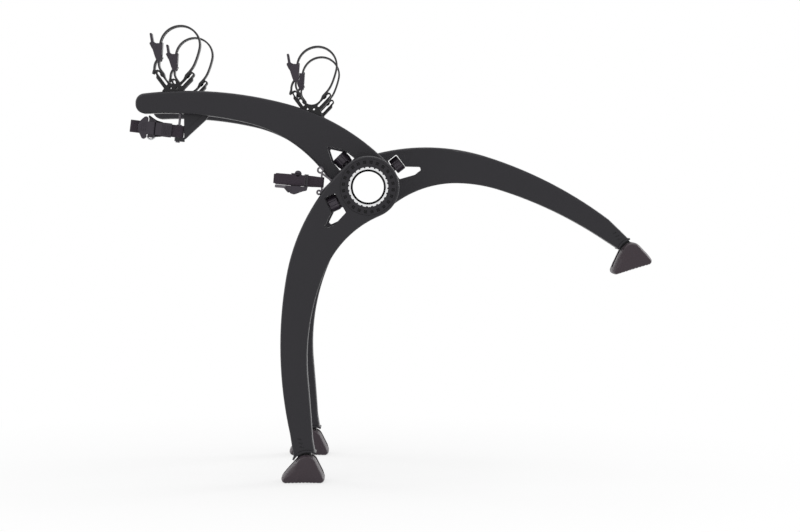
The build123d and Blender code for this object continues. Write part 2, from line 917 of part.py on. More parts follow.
def tip_webbing():
    """Webbing from the cam, round the pin and back behind the buckle to its folded tail."""
    turn_radius = tip_turn_radius()
    fold = webbing_thickness / 2 + webbing_gap
    inner_end = -cam_plate_length - cam_body_length / 4 - lug_radius
    knots = [
        (0, -turn_radius),
        (0, turn_radius),
        (fold - tip_tail_length, turn_radius),
        (fold - tip_tail_length, turn_radius - 2 * fold),
        (thumb_length - tip_tail_length, turn_radius - 2 * fold),
    ]
    strip = ribbon((inner_end, -turn_radius), (1, 0), knots, webbing_thickness)
    return plan_slab(strip, tip_place(), webbing_width)


def cam_span():
    """Where the cam buckle's plate starts, where its body starts, and where the body ends."""
    start = -2 * lug_radius
    middle = start - cam_plate_length
    return start, middle, middle - cam_body_length


def box_between(x_range, y_range, z_range):
    """A block between two corners."""
    size = [high - low for low, high in (x_range, y_range, z_range)]
    corner = (x_range[0], y_range[0], z_range[0])
    return Pos(*corner) * Box(*size, align=(Align.MIN, Align.MIN, Align.MIN))


def tip_buckle():
    """The cam buckle: a ribbed plate over the webbing, and a channel that holds the cam."""
    plate_start, body_start, body_end = cam_span()
    webbing_face = -tip_turn_radius() - webbing_thickness / 2 - webbing_gap
    webbing_back = -tip_turn_radius() + webbing_thickness / 2 + webbing_gap
    plate_face = webbing_face - cam_plate_thickness
    rib_face = plate_face - cam_rib_proud
    half = cam_body_height / 2
    height = (-webbing_width / 2, webbing_width / 2)
    plate = box_between((body_start, plate_start), (plate_face, webbing_face), height)
    pitch = cam_plate_length / (cam_rib_count + 1)
    for index in range(cam_rib_count):
        x = plate_start - (index + 1) * pitch
        plate += box_between((x - pitch / 4, x + pitch / 4), (rib_face, plate_face), height)
    length = (body_end, body_start)
    body = box_between(length, (webbing_back, webbing_back + cam_wall), (-half, half))
    for low in (-half, half - cam_wall):
        body += box_between(length, (rib_face, webbing_back), (low, low + cam_wall))
    cover_end = body_start - cam_body_length / 4
    body += box_between((cover_end, body_start), (plate_face, webbing_face), (-half, half))
    buckle = tip_place() * (plate + body)
    hole_radius = cam_pin_radius + pin_running_clearance
    return buckle - rod(cam_place(), hole_radius, -half - overrun, half + overrun)


def cam_centre():
    """The cam's axis in plan: in the open part of the channel."""
    _, _, body_end = cam_span()
    face = -tip_turn_radius() - webbing_thickness / 2 - webbing_gap
    return (body_end + 2 * cam_radius, face - cam_radius - webbing_gap)


def cam_place():
    return tip_place() * Pos(*cam_centre(), 0)


def tip_lever():
    """The cam with its pin, and the lever's wide thumb plate beyond the channel's end."""
    half = cam_body_height / 2
    inner = half - cam_wall - webbing_gap
    lever = rod(cam_place(), cam_radius, -inner, inner)
    lever += rod(cam_place(), cam_pin_radius, -half, half)
    _, _, body_end = cam_span()
    centre = cam_centre()
    low, high = centre[1] - cam_radius, centre[1] - cam_radius + thumb_thickness
    edge = body_end - webbing_gap - cam_wall / 2
    plate = box_between((edge, centre[0]), (low, centre[1]), (-inner, inner))
    height = cam_body_height * thumb_height_share
    outline = [(edge + u * thumb_length, v * height) for u, v in thumb_shares]
    plate += slab(Polygon(*outline, align=None), (low + high) / 2, high - low)
    return lever + tip_place() * plate


thumb_height_share = 0.87
thumb_shares = (
    (0.00, 0.82),
    (-0.62, 0.84),
    (-1.00, 0.28),
    (-1.00, -0.20),
    (-0.40, -0.72),
    (0.00, -0.62),
)


# Strap set left of the hub, with places given from the link's upright side


link_pivot_shares = (-1.16, 0.19)
link_side_shares = (-1.50, 0.15)
hub_y = leg_planes["near"]


def link_pivot():
    return scaled([link_pivot_shares], hub_radius, hub_radius)[0]


def link_side():
    return scaled([link_side_shares], hub_radius, hub_radius)[0]


def link_room():
    """The slot and the cross hole in the near lower leg that hold the link."""
    width = link_wire + 2 * link_slot_clearance
    mouth_radius = link_wire + link_slot_clearance
    mouth = capsule(link_pivot(), plus(link_pivot(), (-hub_radius / 2, 0)), mouth_radius)
    outward = (0, -hub_radius / 2)
    corners = [plus(link_side(), (step, link_height)) for step in outward]
    corners += [plus(link_side(), (step, -link_height)) for step in reversed(outward)]
    throat = [plus(link_pivot(), (0, step)) for step in (-mouth_radius, mouth_radius)]
    fan = Polygon(*throat, *corners, align=None)
    room = slab(mouth + fan, hub_y, width)
    hole_radius = link_wire / 2 + pin_running_clearance
    return room + pin_across(link_pivot(), hub_y, hole_radius, link_pin_length + 2 * pin_running_clearance)


def wire(start, end, radius):
    """A round wire between two points in the near lower leg's middle plane, with a bead at each end."""
    base, tip = (Vector(x, hub_y, z) for x, z in (start, end))
    plane = Plane(origin=base, z_dir=tip - base)
    bar = rod(plane, radius, 0, (tip - base).length)
    return bar + Pos(base) * Sphere(radius + link_bead) + Pos(tip) * Sphere(radius + link_bead)


def hub_link():
    """A wire triangle with an eye at each end of its upright side, and a cross pin at its apex."""
    half = link_height / 2
    radius = link_wire / 2
    top, bottom = (plus(link_side(), (0, step)) for step in (half, -half))
    link = wire(top, bottom, radius)
    for corner in (top, bottom):
        link += wire(corner, link_pivot(), radius)
    eye = plus(top, (-link_eye_radius / 2, link_eye_radius + radius / 2))
    low_eye = plus(bottom, (-link_wire - radius, -radius))
    for centre, eye_radius in ((eye, link_eye_radius), (low_eye, link_wire)):
        link += side_plane(hub_y) * Pos(*centre) * Torus(eye_radius, radius)
    return link + pin_across(link_pivot(), hub_y, radius, link_pin_length)


def bundle_end():
    return bundle_start + bundle_length


def hub_turn_radius():
    return link_wire / 2 + webbing_gap + webbing_thickness / 2


def bundle_sides():
    """How near and how far the bundle reaches from the link's plane, along the tube."""
    far = hub_turn_radius() + webbing_thickness / 2
    return -far - (bundle_layers - 1) * bundle_pitch, far


def hub_webbing():
    """Webbing round the link's upright side, then folded to and fro into a flat bundle."""
    side = hub_turn_radius()
    knots = [(0, side), (0, -side)]
    for layer in range(bundle_layers - 1):
        end = -bundle_start if layer % 2 else -bundle_end()
        knots += [(end, -side), (end, -side - bundle_pitch)]
        side += bundle_pitch
    knots.append((-bundle_start if bundle_layers % 2 == 0 else -bundle_end(), -side))
    strip = ribbon((-bundle_end(), hub_turn_radius()), (1, 0), knots, webbing_thickness)
    x, z = link_side()
    return plan_slab(strip, Pos(x, hub_y, z), hub_webbing_width)


def hub_buckle():
    """A loop moulded round the bundle, with the cam buckle's channel below it."""
    near, far = bundle_sides()
    half = hub_webbing_width / 2 + band_gap
    middle = bundle_start + bundle_length * band_place
    span = (-middle - band_width / 2, -middle + band_width / 2)
    outer = box_between(
        span,
        (near - band_gap - band_thickness, far + band_gap + band_thickness),
        (-half - band_thickness, half + band_thickness),
    )
    inner = box_between(
        (span[0] - overrun, span[1] + overrun), (near - band_gap, far + band_gap), (-half, half)
    )
    channel_start = -bundle_end() + band_width + hub_lever_length / 2
    channel = (channel_start - hub_cam_length / 2, channel_start + hub_cam_length / 2)
    top = -half - band_thickness
    centre_y = (near + far) / 2
    wide = (centre_y - hub_cam_width / 2, centre_y + hub_cam_width / 2)
    body = box_between(channel, wide, (top - hub_cam_height, -half))
    room = box_between(
        (channel[0] - overrun, channel[1] + overrun),
        (wide[0] + cam_wall, wide[1] - cam_wall),
        (top - hub_cam_height - overrun, top),
    )
    x, z = link_side()
    buckle = Pos(x, hub_y, z) * (body + outer - inner - room)
    hole_radius = cam_pin_radius + pin_running_clearance
    return buckle - pin_across(hub_cam_centre(), hub_y + centre_y, hole_radius, 2 * hub_cam_width)


def hub_cam_centre():
    x, z = link_side()
    top = -hub_webbing_width / 2 - band_gap - band_thickness
    return (x - bundle_end() + hub_lever_length * 1.75, z + top - hub_cam_height / 2)


def hub_lever():
    """The cam on its pin, with the short wedge that sticks out of the channel's end."""
    near, far = bundle_sides()
    centre_y = hub_y + (near + far) / 2
    centre = hub_cam_centre()
    outline = Pos(*centre) * Circle(hub_cam_height / 2 - hub_cam_gap)
    wedge = [plus(centre, (u * hub_lever_length, v * hub_cam_height)) for u, v in hub_lever_shares]
    outline += Polygon(*wedge, align=None)
    inner = hub_cam_width - 2 * cam_wall - 2 * lever_side_gap
    lever = slab(outline, centre_y, inner)
    return lever + pin_across(centre, centre_y, cam_pin_radius, hub_cam_width)


hub_lever_shares = ((0.00, 0.42), (-0.74, 0.28), (-0.74, -0.05), (-0.42, -0.66), (0.00, -0.42))


parts = {}


def make_parts():
    parts["main_tube"] = main_tube()
    parts["index_ring_near"] = index_ring(-1)
    parts["index_ring_far"] = index_ring(1)
    parts["upper_leg"] = leg(upper_leg_shape, upper_ankle, 0)
    parts["foot_upper"] = foot(upper_ankle, 0)
    parts["foot_pin_upper"] = foot_pin(upper_ankle, 0)
    locks = {"upper_leg": (upper_leg_shape, 0)}
    for side in ("near", "far"):
        leg_y, arm_y = leg_planes[side], arm_planes[side]
        parts[f"lower_leg_{side}"] = lower_leg(side)
        parts[f"arm_{side}"] = arm(side)
        parts[f"foot_lower_{side}"] = foot(lower_ankle, leg_y)
        parts[f"foot_pin_lower_{side}"] = foot_pin(lower_ankle, leg_y)
        locks[f"lower_leg_{side}"] = (lower_leg_shape, leg_y)
        locks[f"arm_{side}"] = (arm_shape, arm_y)
        base_straps, pins, bolts = [], [], []
        for place, (x, z) in cradle_places().items():
            parts[f"cradle_{side}_{place}"] = cradle(x, z, arm_y)
            parts[f"ladder_strap_{side}_{place}"] = ladder_strap(x, z, arm_y)
            parts[f"buckle_base_{side}_{place}"] = buckle_base(x, z, arm_y)
            parts[f"buckle_lever_{side}_{place}"] = buckle_lever(x, z, arm_y)
            base_straps.append(base_strap(x, z, arm_y))
            pins.append(buckle_pins(x, z, arm_y))
            bolts.append(cradle_bolt(x, z, arm_y))
        parts[f"base_straps_{side}"] = base_straps[0] + base_straps[1]
        parts[f"buckle_pins_{side}"] = pins[0] + pins[1]
        parts[f"cradle_bolts_{side}"] = bolts[0] + bolts[1]
    for name, (shape, y) in locks.items():
        parts[f"lock_knob_{name}"] = lock_knob(shape, y)
        parts[f"lock_stud_{name}"] = lock_stud(shape, y)
        parts[f"lock_pawl_{name}"] = lock_pawl(shape, y)
    parts["tip_strap_bracket"] = tip_bracket()
    parts["tip_strap_pin"] = tip_pin()
    parts["tip_strap_webbing"] = tip_webbing()
    parts["tip_strap_buckle"] = tip_buckle()
    parts["tip_strap_lever"] = tip_lever()
    parts["hub_strap_link"] = hub_link()
    parts["hub_strap_webbing"] = hub_webbing()
    parts["hub_strap_buckle"] = hub_buckle()
    parts["hub_strap_lever"] = hub_lever()


make_parts()
os.makedirs("parts", exist_ok=True)
for name, shape in parts.items():
    solids = shape.solids()
    export_step(solids[0] if len(solids) == 1 else Compound(children=list(solids)), f"parts/{name}.step")
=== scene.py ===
"""Looks of a trunk mounted bike rack over its CAD frame: finishes, rubber, straps and studio.

The sizes of the rack's pieces are millimetres, as in the part's own source, and the studio's are
metres. The origin is halfway along the main tube's axis, +X points to the car, +Y along the tube
away from the viewer, and +Z up. A piece's mesh is turned into metres in one place, where the
piece is finished.
"""

import json
import logging
import math
from collections.abc import Callable, Sequence
from dataclasses import dataclass
from enum import Enum

import bmesh
import bpy
from mathutils import Matrix, Vector
from mathutils.geometry import tessellate_polygon

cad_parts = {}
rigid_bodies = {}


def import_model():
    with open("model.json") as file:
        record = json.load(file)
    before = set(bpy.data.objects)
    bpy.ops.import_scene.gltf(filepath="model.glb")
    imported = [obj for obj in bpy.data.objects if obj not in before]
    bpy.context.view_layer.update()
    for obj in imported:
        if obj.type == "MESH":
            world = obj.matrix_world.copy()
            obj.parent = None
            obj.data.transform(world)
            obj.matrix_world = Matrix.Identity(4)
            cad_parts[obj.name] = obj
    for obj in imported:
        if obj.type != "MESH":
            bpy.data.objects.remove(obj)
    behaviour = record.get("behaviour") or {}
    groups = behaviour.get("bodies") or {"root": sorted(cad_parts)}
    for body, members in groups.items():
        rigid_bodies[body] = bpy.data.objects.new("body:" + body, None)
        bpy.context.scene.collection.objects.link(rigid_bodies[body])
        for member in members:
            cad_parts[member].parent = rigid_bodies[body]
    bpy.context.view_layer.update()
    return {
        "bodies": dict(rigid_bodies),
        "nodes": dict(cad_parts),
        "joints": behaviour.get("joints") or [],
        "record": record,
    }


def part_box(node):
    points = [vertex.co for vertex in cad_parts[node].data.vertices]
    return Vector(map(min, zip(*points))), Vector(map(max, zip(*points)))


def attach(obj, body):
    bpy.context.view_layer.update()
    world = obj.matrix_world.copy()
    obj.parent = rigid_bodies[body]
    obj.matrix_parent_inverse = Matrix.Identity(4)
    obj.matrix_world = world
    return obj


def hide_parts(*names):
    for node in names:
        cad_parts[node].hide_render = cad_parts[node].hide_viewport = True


log = logging.getLogger("bike_rack")

MILLIMETRE = 0.001
LEG_REACH = 457.0
LOWER_PIN_ANGLE, UPPER_PIN_ANGLE = -102.3, -14.2
UPPER_FOOT_TURN = 17.0
FLOOR_GAP = 0.05
WELD_DISTANCE = 0.001
SHARP_ANGLE = 38.0
STRAP_SHARP_ANGLE = 50.0
WEBBING_SHARP_ANGLE = 60.0
RIVET_ROUNDING = 0.4
RIVET_SIDES = 24
RIB_SIDES = 12

Point = tuple[float, float]
Triple = tuple[float, float, float]
Colour = Triple


# Plane geometry


def polar(radius: float, angle: float) -> Point:
    """A point at radius from the origin, at an angle in degrees."""
    return (radius * math.cos(math.radians(angle)), radius * math.sin(math.radians(angle)))


def turned(vector: Point, angle: float) -> Point:
    """A plane vector turned anticlockwise by an angle in radians."""
    c, s = math.cos(angle), math.sin(angle)
    return (vector[0] * c - vector[1] * s, vector[0] * s + vector[1] * c)


def mirrored(points: Sequence[Point]) -> list[Point]:
    """The points on the other side of the upright axis."""
    return [(-x, z) for x, z in points]


def scaled(shares: Sequence[Point], width: float, height: float) -> list[Point]:
    """Points given as shares of a width and a height."""
    return [(width * u, height * v) for u, v in shares]


def blend(low: float, high: float, value: float) -> float:
    """A smooth step from 0 at low to 1 at high."""
    share = min(1.0, max(0.0, (value - low) / (high - low)))
    return share * share * (3 - 2 * share)


def closed_resample(points: Sequence[Point], step: float) -> list[Point]:
    """A closed outline with evenly spaced points.

    Args:
        points: The outline's corners, in order.
        step: The wanted distance between the new points.

    Returns:
        The new points, in the same direction round the outline.
    """
    corners = [Vector(p) for p in points]
    corners.append(corners[0])
    lengths = [(b - a).length for a, b in zip(corners, corners[1:])]
    total = sum(lengths)
    count = max(8, round(total / step))
    result = []
    index, passed = 0, 0.0
    for place in (total * i / count for i in range(count)):
        while passed + lengths[index] < place:
            passed += lengths[index]
            index += 1
        share = (place - passed) / lengths[index]
        result.append(tuple(corners[index].lerp(corners[index + 1], share)))
    return result


def rounded_outline(points: Sequence[Point], radius: float, steps: int = 4) -> list[Point]:
    """A polygon with each corner rounded, by less where its sides are short.

    Args:
        points: The polygon's corners, in order.
        radius: How far from a corner its rounding may start.
        steps: How many edges make each rounding.

    Returns:
        The rounded outline's points.
    """
    result = []
    count = len(points)
    for index, point in enumerate(points):
        corner = Vector(point)
        before = Vector(points[index - 1]) - corner
        after = Vector(points[(index + 1) % count]) - corner
        reach = min(radius, before.length * 0.45, after.length * 0.45)
        start, end = corner + before.normalized() * reach, corner + after.normalized() * reach
        for step in range(steps + 1):
            t = step / steps
            result.append(tuple(start.lerp(corner, t).lerp(corner.lerp(end, t), t)))
    return result


def hull_of_circles(circles: Sequence[tuple[Point, float]], count: int = 180) -> list[Point]:
    """The outline of a band stretched round circles, each given as its centre and radius."""
    result = []
    for index in range(count):
        way = polar(1, 360 * index / count)
        centre, radius = max(circles, key=lambda c: c[0][0] * way[0] + c[0][1] * way[1] + c[1])
        result.append((centre[0] + radius * way[0], centre[1] + radius * way[1]))
    return result


def barrel(radius: float, end: float, ease: float = 0.03) -> list[Point]:
    """A bar's profile that widens from its ends to its full radius within a share of its length."""
    return [(0, end), (ease, radius), (1 - ease, radius), (1, end)]


def rivet(radius: float, ease: float = 0.8) -> list[Point]:
    """The profile of a pin's head, with its rim rounded."""
    return [(0, radius), (ease, radius), (1, radius - RIVET_ROUNDING)]


@dataclass(frozen=True)
class PathPoint:
    """A place on a smooth path: where it is, which way it runs, and how far along it lies."""

    spot: Point
    heading: Point
    distance: float

    def beside(self, offset: float) -> Point:
        """The point that lies offset to the left, as seen along the path."""
        return (self.spot[0] - self.heading[1] * offset, self.spot[1] + self.heading[0] * offset)


@dataclass(frozen=True)
class SmoothPath:
    """Arcs that leave a start along a heading and run on smoothly through the knots."""

    start: Point
    heading: Point
    knots: tuple[Point, ...]

    def samples(self, step: float, turn_step: float = 0.16) -> list[PathPoint]:
        """Places along the path.

        Args:
            step: The longest distance between two places.
            turn_step: The largest turn between two places, in radians.

        Returns:
            The places in order, from the start to the last knot.
        """
        start, heading, passed = Vector(self.start), Vector(self.heading).normalized(), 0.0
        places = [PathPoint(tuple(start), tuple(heading), 0.0)]
        for knot in self.knots:
            chord = Vector(knot) - start
            turn = math.atan2(heading.cross(chord), heading.dot(chord))
            straight = abs(turn) < 1e-5
            length = chord.length if straight else chord.length * turn / math.sin(turn)
            count = max(1, math.ceil(length / step), math.ceil(abs(2 * turn) / turn_step))
            for index in range(1, count + 1):
                t = index / count
                reach = chord.length * (t if straight else math.sin(turn * t) / math.sin(turn))
                spot = start + Vector(turned(heading, turn * t)) * reach
                way = turned(heading, 2 * turn * t)
                places.append(PathPoint(tuple(spot), way, passed + length * t))
            passed += length
            start, heading = Vector(knot), Vector(turned(heading, 2 * turn))
        return places


# Meshes


class Form:
    """A mesh in the making, in millimetres, that ends as one piece of the rack."""

    def __init__(self) -> None:
        """Starts an empty mesh with room for texture coordinates."""
        self.mesh = bmesh.new()
        self.uv = self.mesh.loops.layers.uv.new("UVMap")

    def ring(self, points: Sequence[Vector]) -> list[bmesh.types.BMVert]:
        """Adds a row of loose points."""
        return [self.mesh.verts.new(p) for p in points]

    def bridge(
        self,
        first: Sequence[bmesh.types.BMVert],
        second: Sequence[bmesh.types.BMVert],
        closed: bool = True,
        along: Point = (0.0, 0.0),
        across: Sequence[float] = (),
    ) -> None:
        """Joins two rows of points by a band of faces.

        Args:
            first: The first row.
            second: The second row, with as many points.
            closed: Whether the rows close on themselves.
            along: The texture coordinate along the piece at each row.
            across: The texture coordinate across the piece at each point, with one more if closed.
        """
        count = len(first)
        for index in range(count if closed else count - 1):
            after = (index + 1) % count
            corners = (first[index], first[after], second[after], second[index])
            face = self.mesh.faces.new(corners)
            if across:
                low, high = across[index], across[index + 1]
                spots = [(along[0], low), (along[0], high), (along[1], high), (along[1], low)]
                for loop, (u, v) in zip(face.loops, spots):
                    loop[self.uv].uv = (u * MILLIMETRE, v * MILLIMETRE)

    def cap(self, row: Sequence[bmesh.types.BMVert]) -> None:
        """Closes a ring by one flat face."""
        self.mesh.faces.new(row)

    def slab(self, loops: Sequence[Sequence[Point]], low: float, high: float) -> None:
        """Adds a flat plate, drawn in X and Z and standing from low to high along Y.

        Args:
            loops: The outer outline, then any holes.
            low: The plate's nearer face.
            high: The plate's farther face.
        """
        faces = [[Vector((x, y, z)) for loop in loops for x, z in loop] for y in (low, high)]
        rows = [self.ring(points) for points in faces]
        triangles = tessellate_polygon([[Vector((x, z, 0)) for x, z in loop] for loop in loops])
        for row in rows:
            for triangle in triangles:
                self.mesh.faces.new([row[i] for i in triangle])
        first = 0
        for loop in loops:
            last = first + len(loop)
            self.bridge(rows[0][first:last], rows[1][first:last])
            first = last

    def block(self, low: Sequence[float], high: Sequence[float]) -> None:
        """Adds a block between two corners."""
        outline = [(low[0], low[2]), (high[0], low[2]), (high[0], high[2]), (low[0], high[2])]
        self.slab([outline], low[1], high[1])

    def rod(
        self,
        start: Sequence[float],
        end: Sequence[float],
        profile: Sequence[Point],
        sides: int = 28,
    ) -> None:
        """Adds a turned bar between two points.

        Args:
            start: The middle of its first end.
            end: The middle of its last end.
            profile: Its radius at shares of its length, as (share, radius) pairs.
            sides: How many faces go round it.
        """
        base, way = Vector(start), Vector(end) - Vector(start)
        across = way.orthogonal().normalized()
        over = way.cross(across).normalized()
        rows = []
        for share, radius in profile:
            spots = [polar(radius, 360 * i / sides) for i in range(sides)]
            rows.append(self.ring([base + way * share + across * u + over * v for u, v in spots]))
        self.loft(rows)

    def loft(self, rows: Sequence[Sequence[bmesh.types.BMVert]]) -> None:
        """Joins rings in order and closes the first and the last."""
        for first, second in zip(rows, rows[1:]):
            self.bridge(first, second)
        self.cap(rows[0])
        self.cap(rows[-1])

    def strip(
        self,
        path: Sequence[PathPoint],
        section: Sequence[Point],
        width_share: Callable[[PathPoint], float],
    ) -> None:
        """Adds a band whose path is drawn in X and Y, with its width upright along Z.

        Args:
            path: The places that the band's middle passes.
            section: Its cross-section, as (across, out) pairs.
            width_share: How much of the full width the band has at a place.
        """
        around = [p[0] for p in section] + [section[0][0]]
        rows = []
        for place in path:
            share = width_share(place)
            spots = [Vector((*place.beside(out), across * share)) for across, out in section]
            rows.append(self.ring(spots))
        for (a, first), (b, second) in zip(zip(path, rows), list(zip(path, rows))[1:]):
            self.bridge(first, second, along=(a.distance, b.distance), across=around)
        self.cap(rows[0])
        self.cap(rows[-1])

    def merge(self) -> None:
        """Welds points that lie together."""
        bmesh.ops.remove_doubles(self.mesh, verts=self.mesh.verts, dist=WELD_DISTANCE)

    def piece(
        self,
        name: str,
        place: Matrix,
        finish: "Finish",
        round_edges: float = 0.0,
        sharp: float = SHARP_ANGLE,
    ) -> bpy.types.Object:
        """Turns the mesh into a piece of the rack.

        Args:
            name: The piece's name.
            place: Where its own axes lie, in millimetres.
            finish: The finish that it gets.
            round_edges: How far its sharp edges are rounded, or 0 to leave them.
            sharp: The least angle between faces that counts as an edge, in degrees.

        Returns:
            The new object.
        """
        self.mesh.transform(Matrix.Scale(MILLIMETRE, 4) @ place)
        bmesh.ops.recalc_face_normals(self.mesh, faces=self.mesh.faces)
        limit = math.radians(sharp)
        for edge in self.mesh.edges:
            edge.smooth = not edge.is_manifold or edge.calc_face_angle(0.0) < limit
        for face in self.mesh.faces:
            face.smooth = True
        mesh = bpy.data.meshes.new(name)
        self.mesh.to_mesh(mesh)
        self.mesh.free()
        mesh.materials.append(finish.material())
        piece = bpy.data.objects.new(name, mesh)
        bpy.context.scene.collection.objects.link(piece)
        if round_edges:
            soften(piece, round_edges, sharp)
        return piece


def soften(
    piece: bpy.types.Object, width: float, sharp: float = SHARP_ANGLE, segments: int = 2
) -> None:
    """Rounds a piece's sharp edges and evens its shading.

    Args:
        piece: The piece or CAD node.
        width: How wide each rounding is, in millimetres.
        sharp: The least angle between faces that is rounded, in degrees.
        segments: How many faces make each rounding.
    """
    bevel = piece.modifiers.new("rounded edges", "BEVEL")
    bevel.width = width * MILLIMETRE
    bevel.segments = segments
    bevel.limit_method = "ANGLE"
    bevel.angle_limit = math.radians(sharp)
    bevel.use_clamp_overlap = True
    bevel.miter_outer = "MITER_ARC"
    bevel.loop_slide = True
    even = piece.modifiers.new("even shading", "WEIGHTED_NORMAL")
    even.keep_sharp = True


def strap_section(width: float, thickness: float, edge: float, columns: int = 8) -> list[Point]:
    """The cross-section of a flat strap with rounded edges.

    Args:
        width: Its width.
        thickness: Its thickness in the middle.
        edge: Its edge's rounding, at most half its thickness.
        columns: How many faces each of its flat sides has.

    Returns:
        The section as (across, out) pairs, in order round it.
    """
    half, rise = width / 2, thickness / 2
    flat = [(-half + edge + (width - 2 * edge) * i / columns, rise) for i in range(columns + 1)]
    turns = (0.9, 0.35)
    side = [(half - edge + edge * math.cos(a), (rise - edge) + edge * math.sin(a)) for a in turns]
    right = flat + side + [(x, -v) for x, v in reversed(side)]
    return right + [(-x, -v) for x, v in right]


# Effects that the finishes share


class Wiring:
    """Adds nodes to a shader tree and joins them."""

    def __init__(self, tree: bpy.types.NodeTree) -> None:
        """Works on one tree."""
        self.tree = tree

    def node(
        self, kind: str, inputs: dict[str | int, object] | None = None, **settings: object
    ) -> bpy.types.Node:
        """Adds a node.

        Args:
            kind: The node's type name.
            inputs: Values or sockets for its inputs, by name or number.
            **settings: Its own settings.

        Returns:
            The new node.
        """
        made = self.tree.nodes.new(kind)
        for key, value in settings.items():
            setattr(made, key, value)
        for key, value in (inputs or {}).items():
            self.feed(value, made.inputs[key])
        return made

    def feed(self, value: object, socket: bpy.types.NodeSocket) -> None:
        """Joins a socket to another, or sets it to a plain value."""
        if isinstance(value, bpy.types.NodeSocket):
            self.tree.links.new(value, socket)
        else:
            socket.default_value = value

    def sum(self, operation: str, *values: object) -> bpy.types.NodeSocket:
        """The result of a Math node."""
        made = self.node("ShaderNodeMath", dict(enumerate(values)), operation=operation)
        return made.outputs[0]

    def range(self, value: object, source: Point, target: Point) -> bpy.types.NodeSocket:
        """A value carried from one range to another, and kept within it."""
        names = ("Value", "From Min", "From Max", "To Min", "To Max")
        inputs = dict(zip(names, (value, *source, *target)))
        return self.node("ShaderNodeMapRange", inputs, clamp=True).outputs["Result"]

    def mix(
        self, share: object, first: object, second: object, kind: str = "MIX"
    ) -> bpy.types.NodeSocket:
        """Two colours mixed by a share."""
        made = self.node("ShaderNodeMix", data_type="RGBA", blend_type=kind)
        self.feed(share, made.inputs["Factor"])
        self.feed(first, made.inputs[6])
        self.feed(second, made.inputs[7])
        return made.outputs[2]

    def noise(
        self, vector: object, scale: object, detail: float = 2.0, rough: float = 0.5
    ) -> bpy.types.NodeSocket:
        """The strength of a noise over the surface."""
        inputs = {"Vector": vector, "Scale": scale, "Detail": detail, "Roughness": rough}
        return self.node("ShaderNodeTexNoise", inputs).outputs["Fac"]

    def scaled(self, value: object, factor: object) -> bpy.types.NodeSocket:
        """A value times a factor."""
        return self.sum("MULTIPLY", value, factor)

    def around(self, value: object, middle: float, factor: object) -> bpy.types.NodeSocket:
        """How far a value lies above a middle, times a factor."""
        return self.scaled(self.sum("SUBTRACT", value, middle), factor)

    def place(self) -> bpy.types.NodeSocket:
        """Where a point of the surface lies in the piece's own axes."""
        return self.node("ShaderNodeTexCoord").outputs["Object"]

    def shade(self, colour: object, level: object) -> bpy.types.NodeSocket:
        """A colour made lighter or darker by a level."""
        grey = self.node("ShaderNodeCombineColor", {0: level, 1: level, 2: level}).outputs[0]
        return self.mix(1.0, colour, grey, "MULTIPLY")

    def bump(self, height: object, strength: float, depth: float) -> bpy.types.NodeSocket:
        """The normal of a relief, its depth in millimetres."""
        inputs = {"Height": height, "Strength": strength, "Distance": depth * MILLIMETRE}
        return self.node("ShaderNodeBump", inputs).outputs["Normal"]


class SocketKind(Enum):
    """The kinds of values that the effect groups take and give."""

    VALUE = "NodeSocketFloat"
    COLOUR = "NodeSocketColor"
    VECTOR = "NodeSocketVector"


class EffectGroup:
    """A shader node group with named inputs and outputs, built once."""

    made: dict[str, bpy.types.NodeTree] = {}

    def __init__(
        self, name: str, takes: dict[str, SocketKind], gives: dict[str, SocketKind]
    ) -> None:
        """Starts a group.

        Args:
            name: Its name.
            takes: Its inputs.
            gives: Its outputs.
        """
        self.tree = bpy.data.node_groups.new(name, "ShaderNodeTree")
        for names, way in ((takes, "INPUT"), (gives, "OUTPUT")):
            for key, kind in names.items():
                self.tree.interface.new_socket(name=key, in_out=way, socket_type=kind.value)
        self.wires = Wiring(self.tree)
        self.source = self.tree.nodes.new("NodeGroupInput").outputs
        self.target = self.tree.nodes.new("NodeGroupOutput").inputs

    def finish(self, **results: object) -> bpy.types.NodeTree:
        """Joins the results to the group's outputs, whose names they carry."""
        for key, value in results.items():
            self.wires.feed(value, self.target[key])
        return self.tree

    @classmethod
    def named(cls, name: str, build: Callable[[], bpy.types.NodeTree]) -> bpy.types.NodeTree:
        """The group of that name, built if it isn't there yet."""
        if name not in cls.made:
            cls.made[name] = build()
        return cls.made[name]


def moulded_grain() -> bpy.types.NodeTree:
    """Fine spark-eroded grain over slow changes of tone, as on moulded plastic and rubber."""
    kind = SocketKind
    group = EffectGroup(
        "Moulded grain",
        {"Colour": kind.COLOUR, "Scale": kind.VALUE, "Tone": kind.VALUE, "Roughness": kind.VALUE},
        {"Colour": kind.COLOUR, "Roughness": kind.VALUE, "Height": kind.VALUE},
    )
    wires, source = group.wires, group.source
    spot = wires.place()
    fine = wires.noise(spot, source["Scale"], 3.0, 0.6)
    cells = wires.node("ShaderNodeTexVoronoi", {"Vector": spot, "Scale": source["Scale"]})
    pits = cells.outputs["Distance"]
    slow = wires.noise(spot, 9.0, 3.0, 0.55)
    patchy = wires.noise(spot, 55.0, 2.0, 0.5)
    height = wires.sum("ADD", fine, wires.scaled(pits, 0.6))
    drift = wires.around(slow, 0.5, source["Tone"])
    speck = wires.around(fine, 0.5, wires.scaled(source["Tone"], 0.7))
    level = wires.sum("ADD", 1.0, wires.sum("ADD", drift, speck))
    colour = wires.shade(source["Colour"], level)
    shine = wires.sum("ADD", wires.around(patchy, 0.5, 0.16), wires.around(slow, 0.5, 0.10))
    rough = wires.sum("ADD", source["Roughness"], shine)
    return group.finish(Colour=colour, Roughness=rough, Height=height)


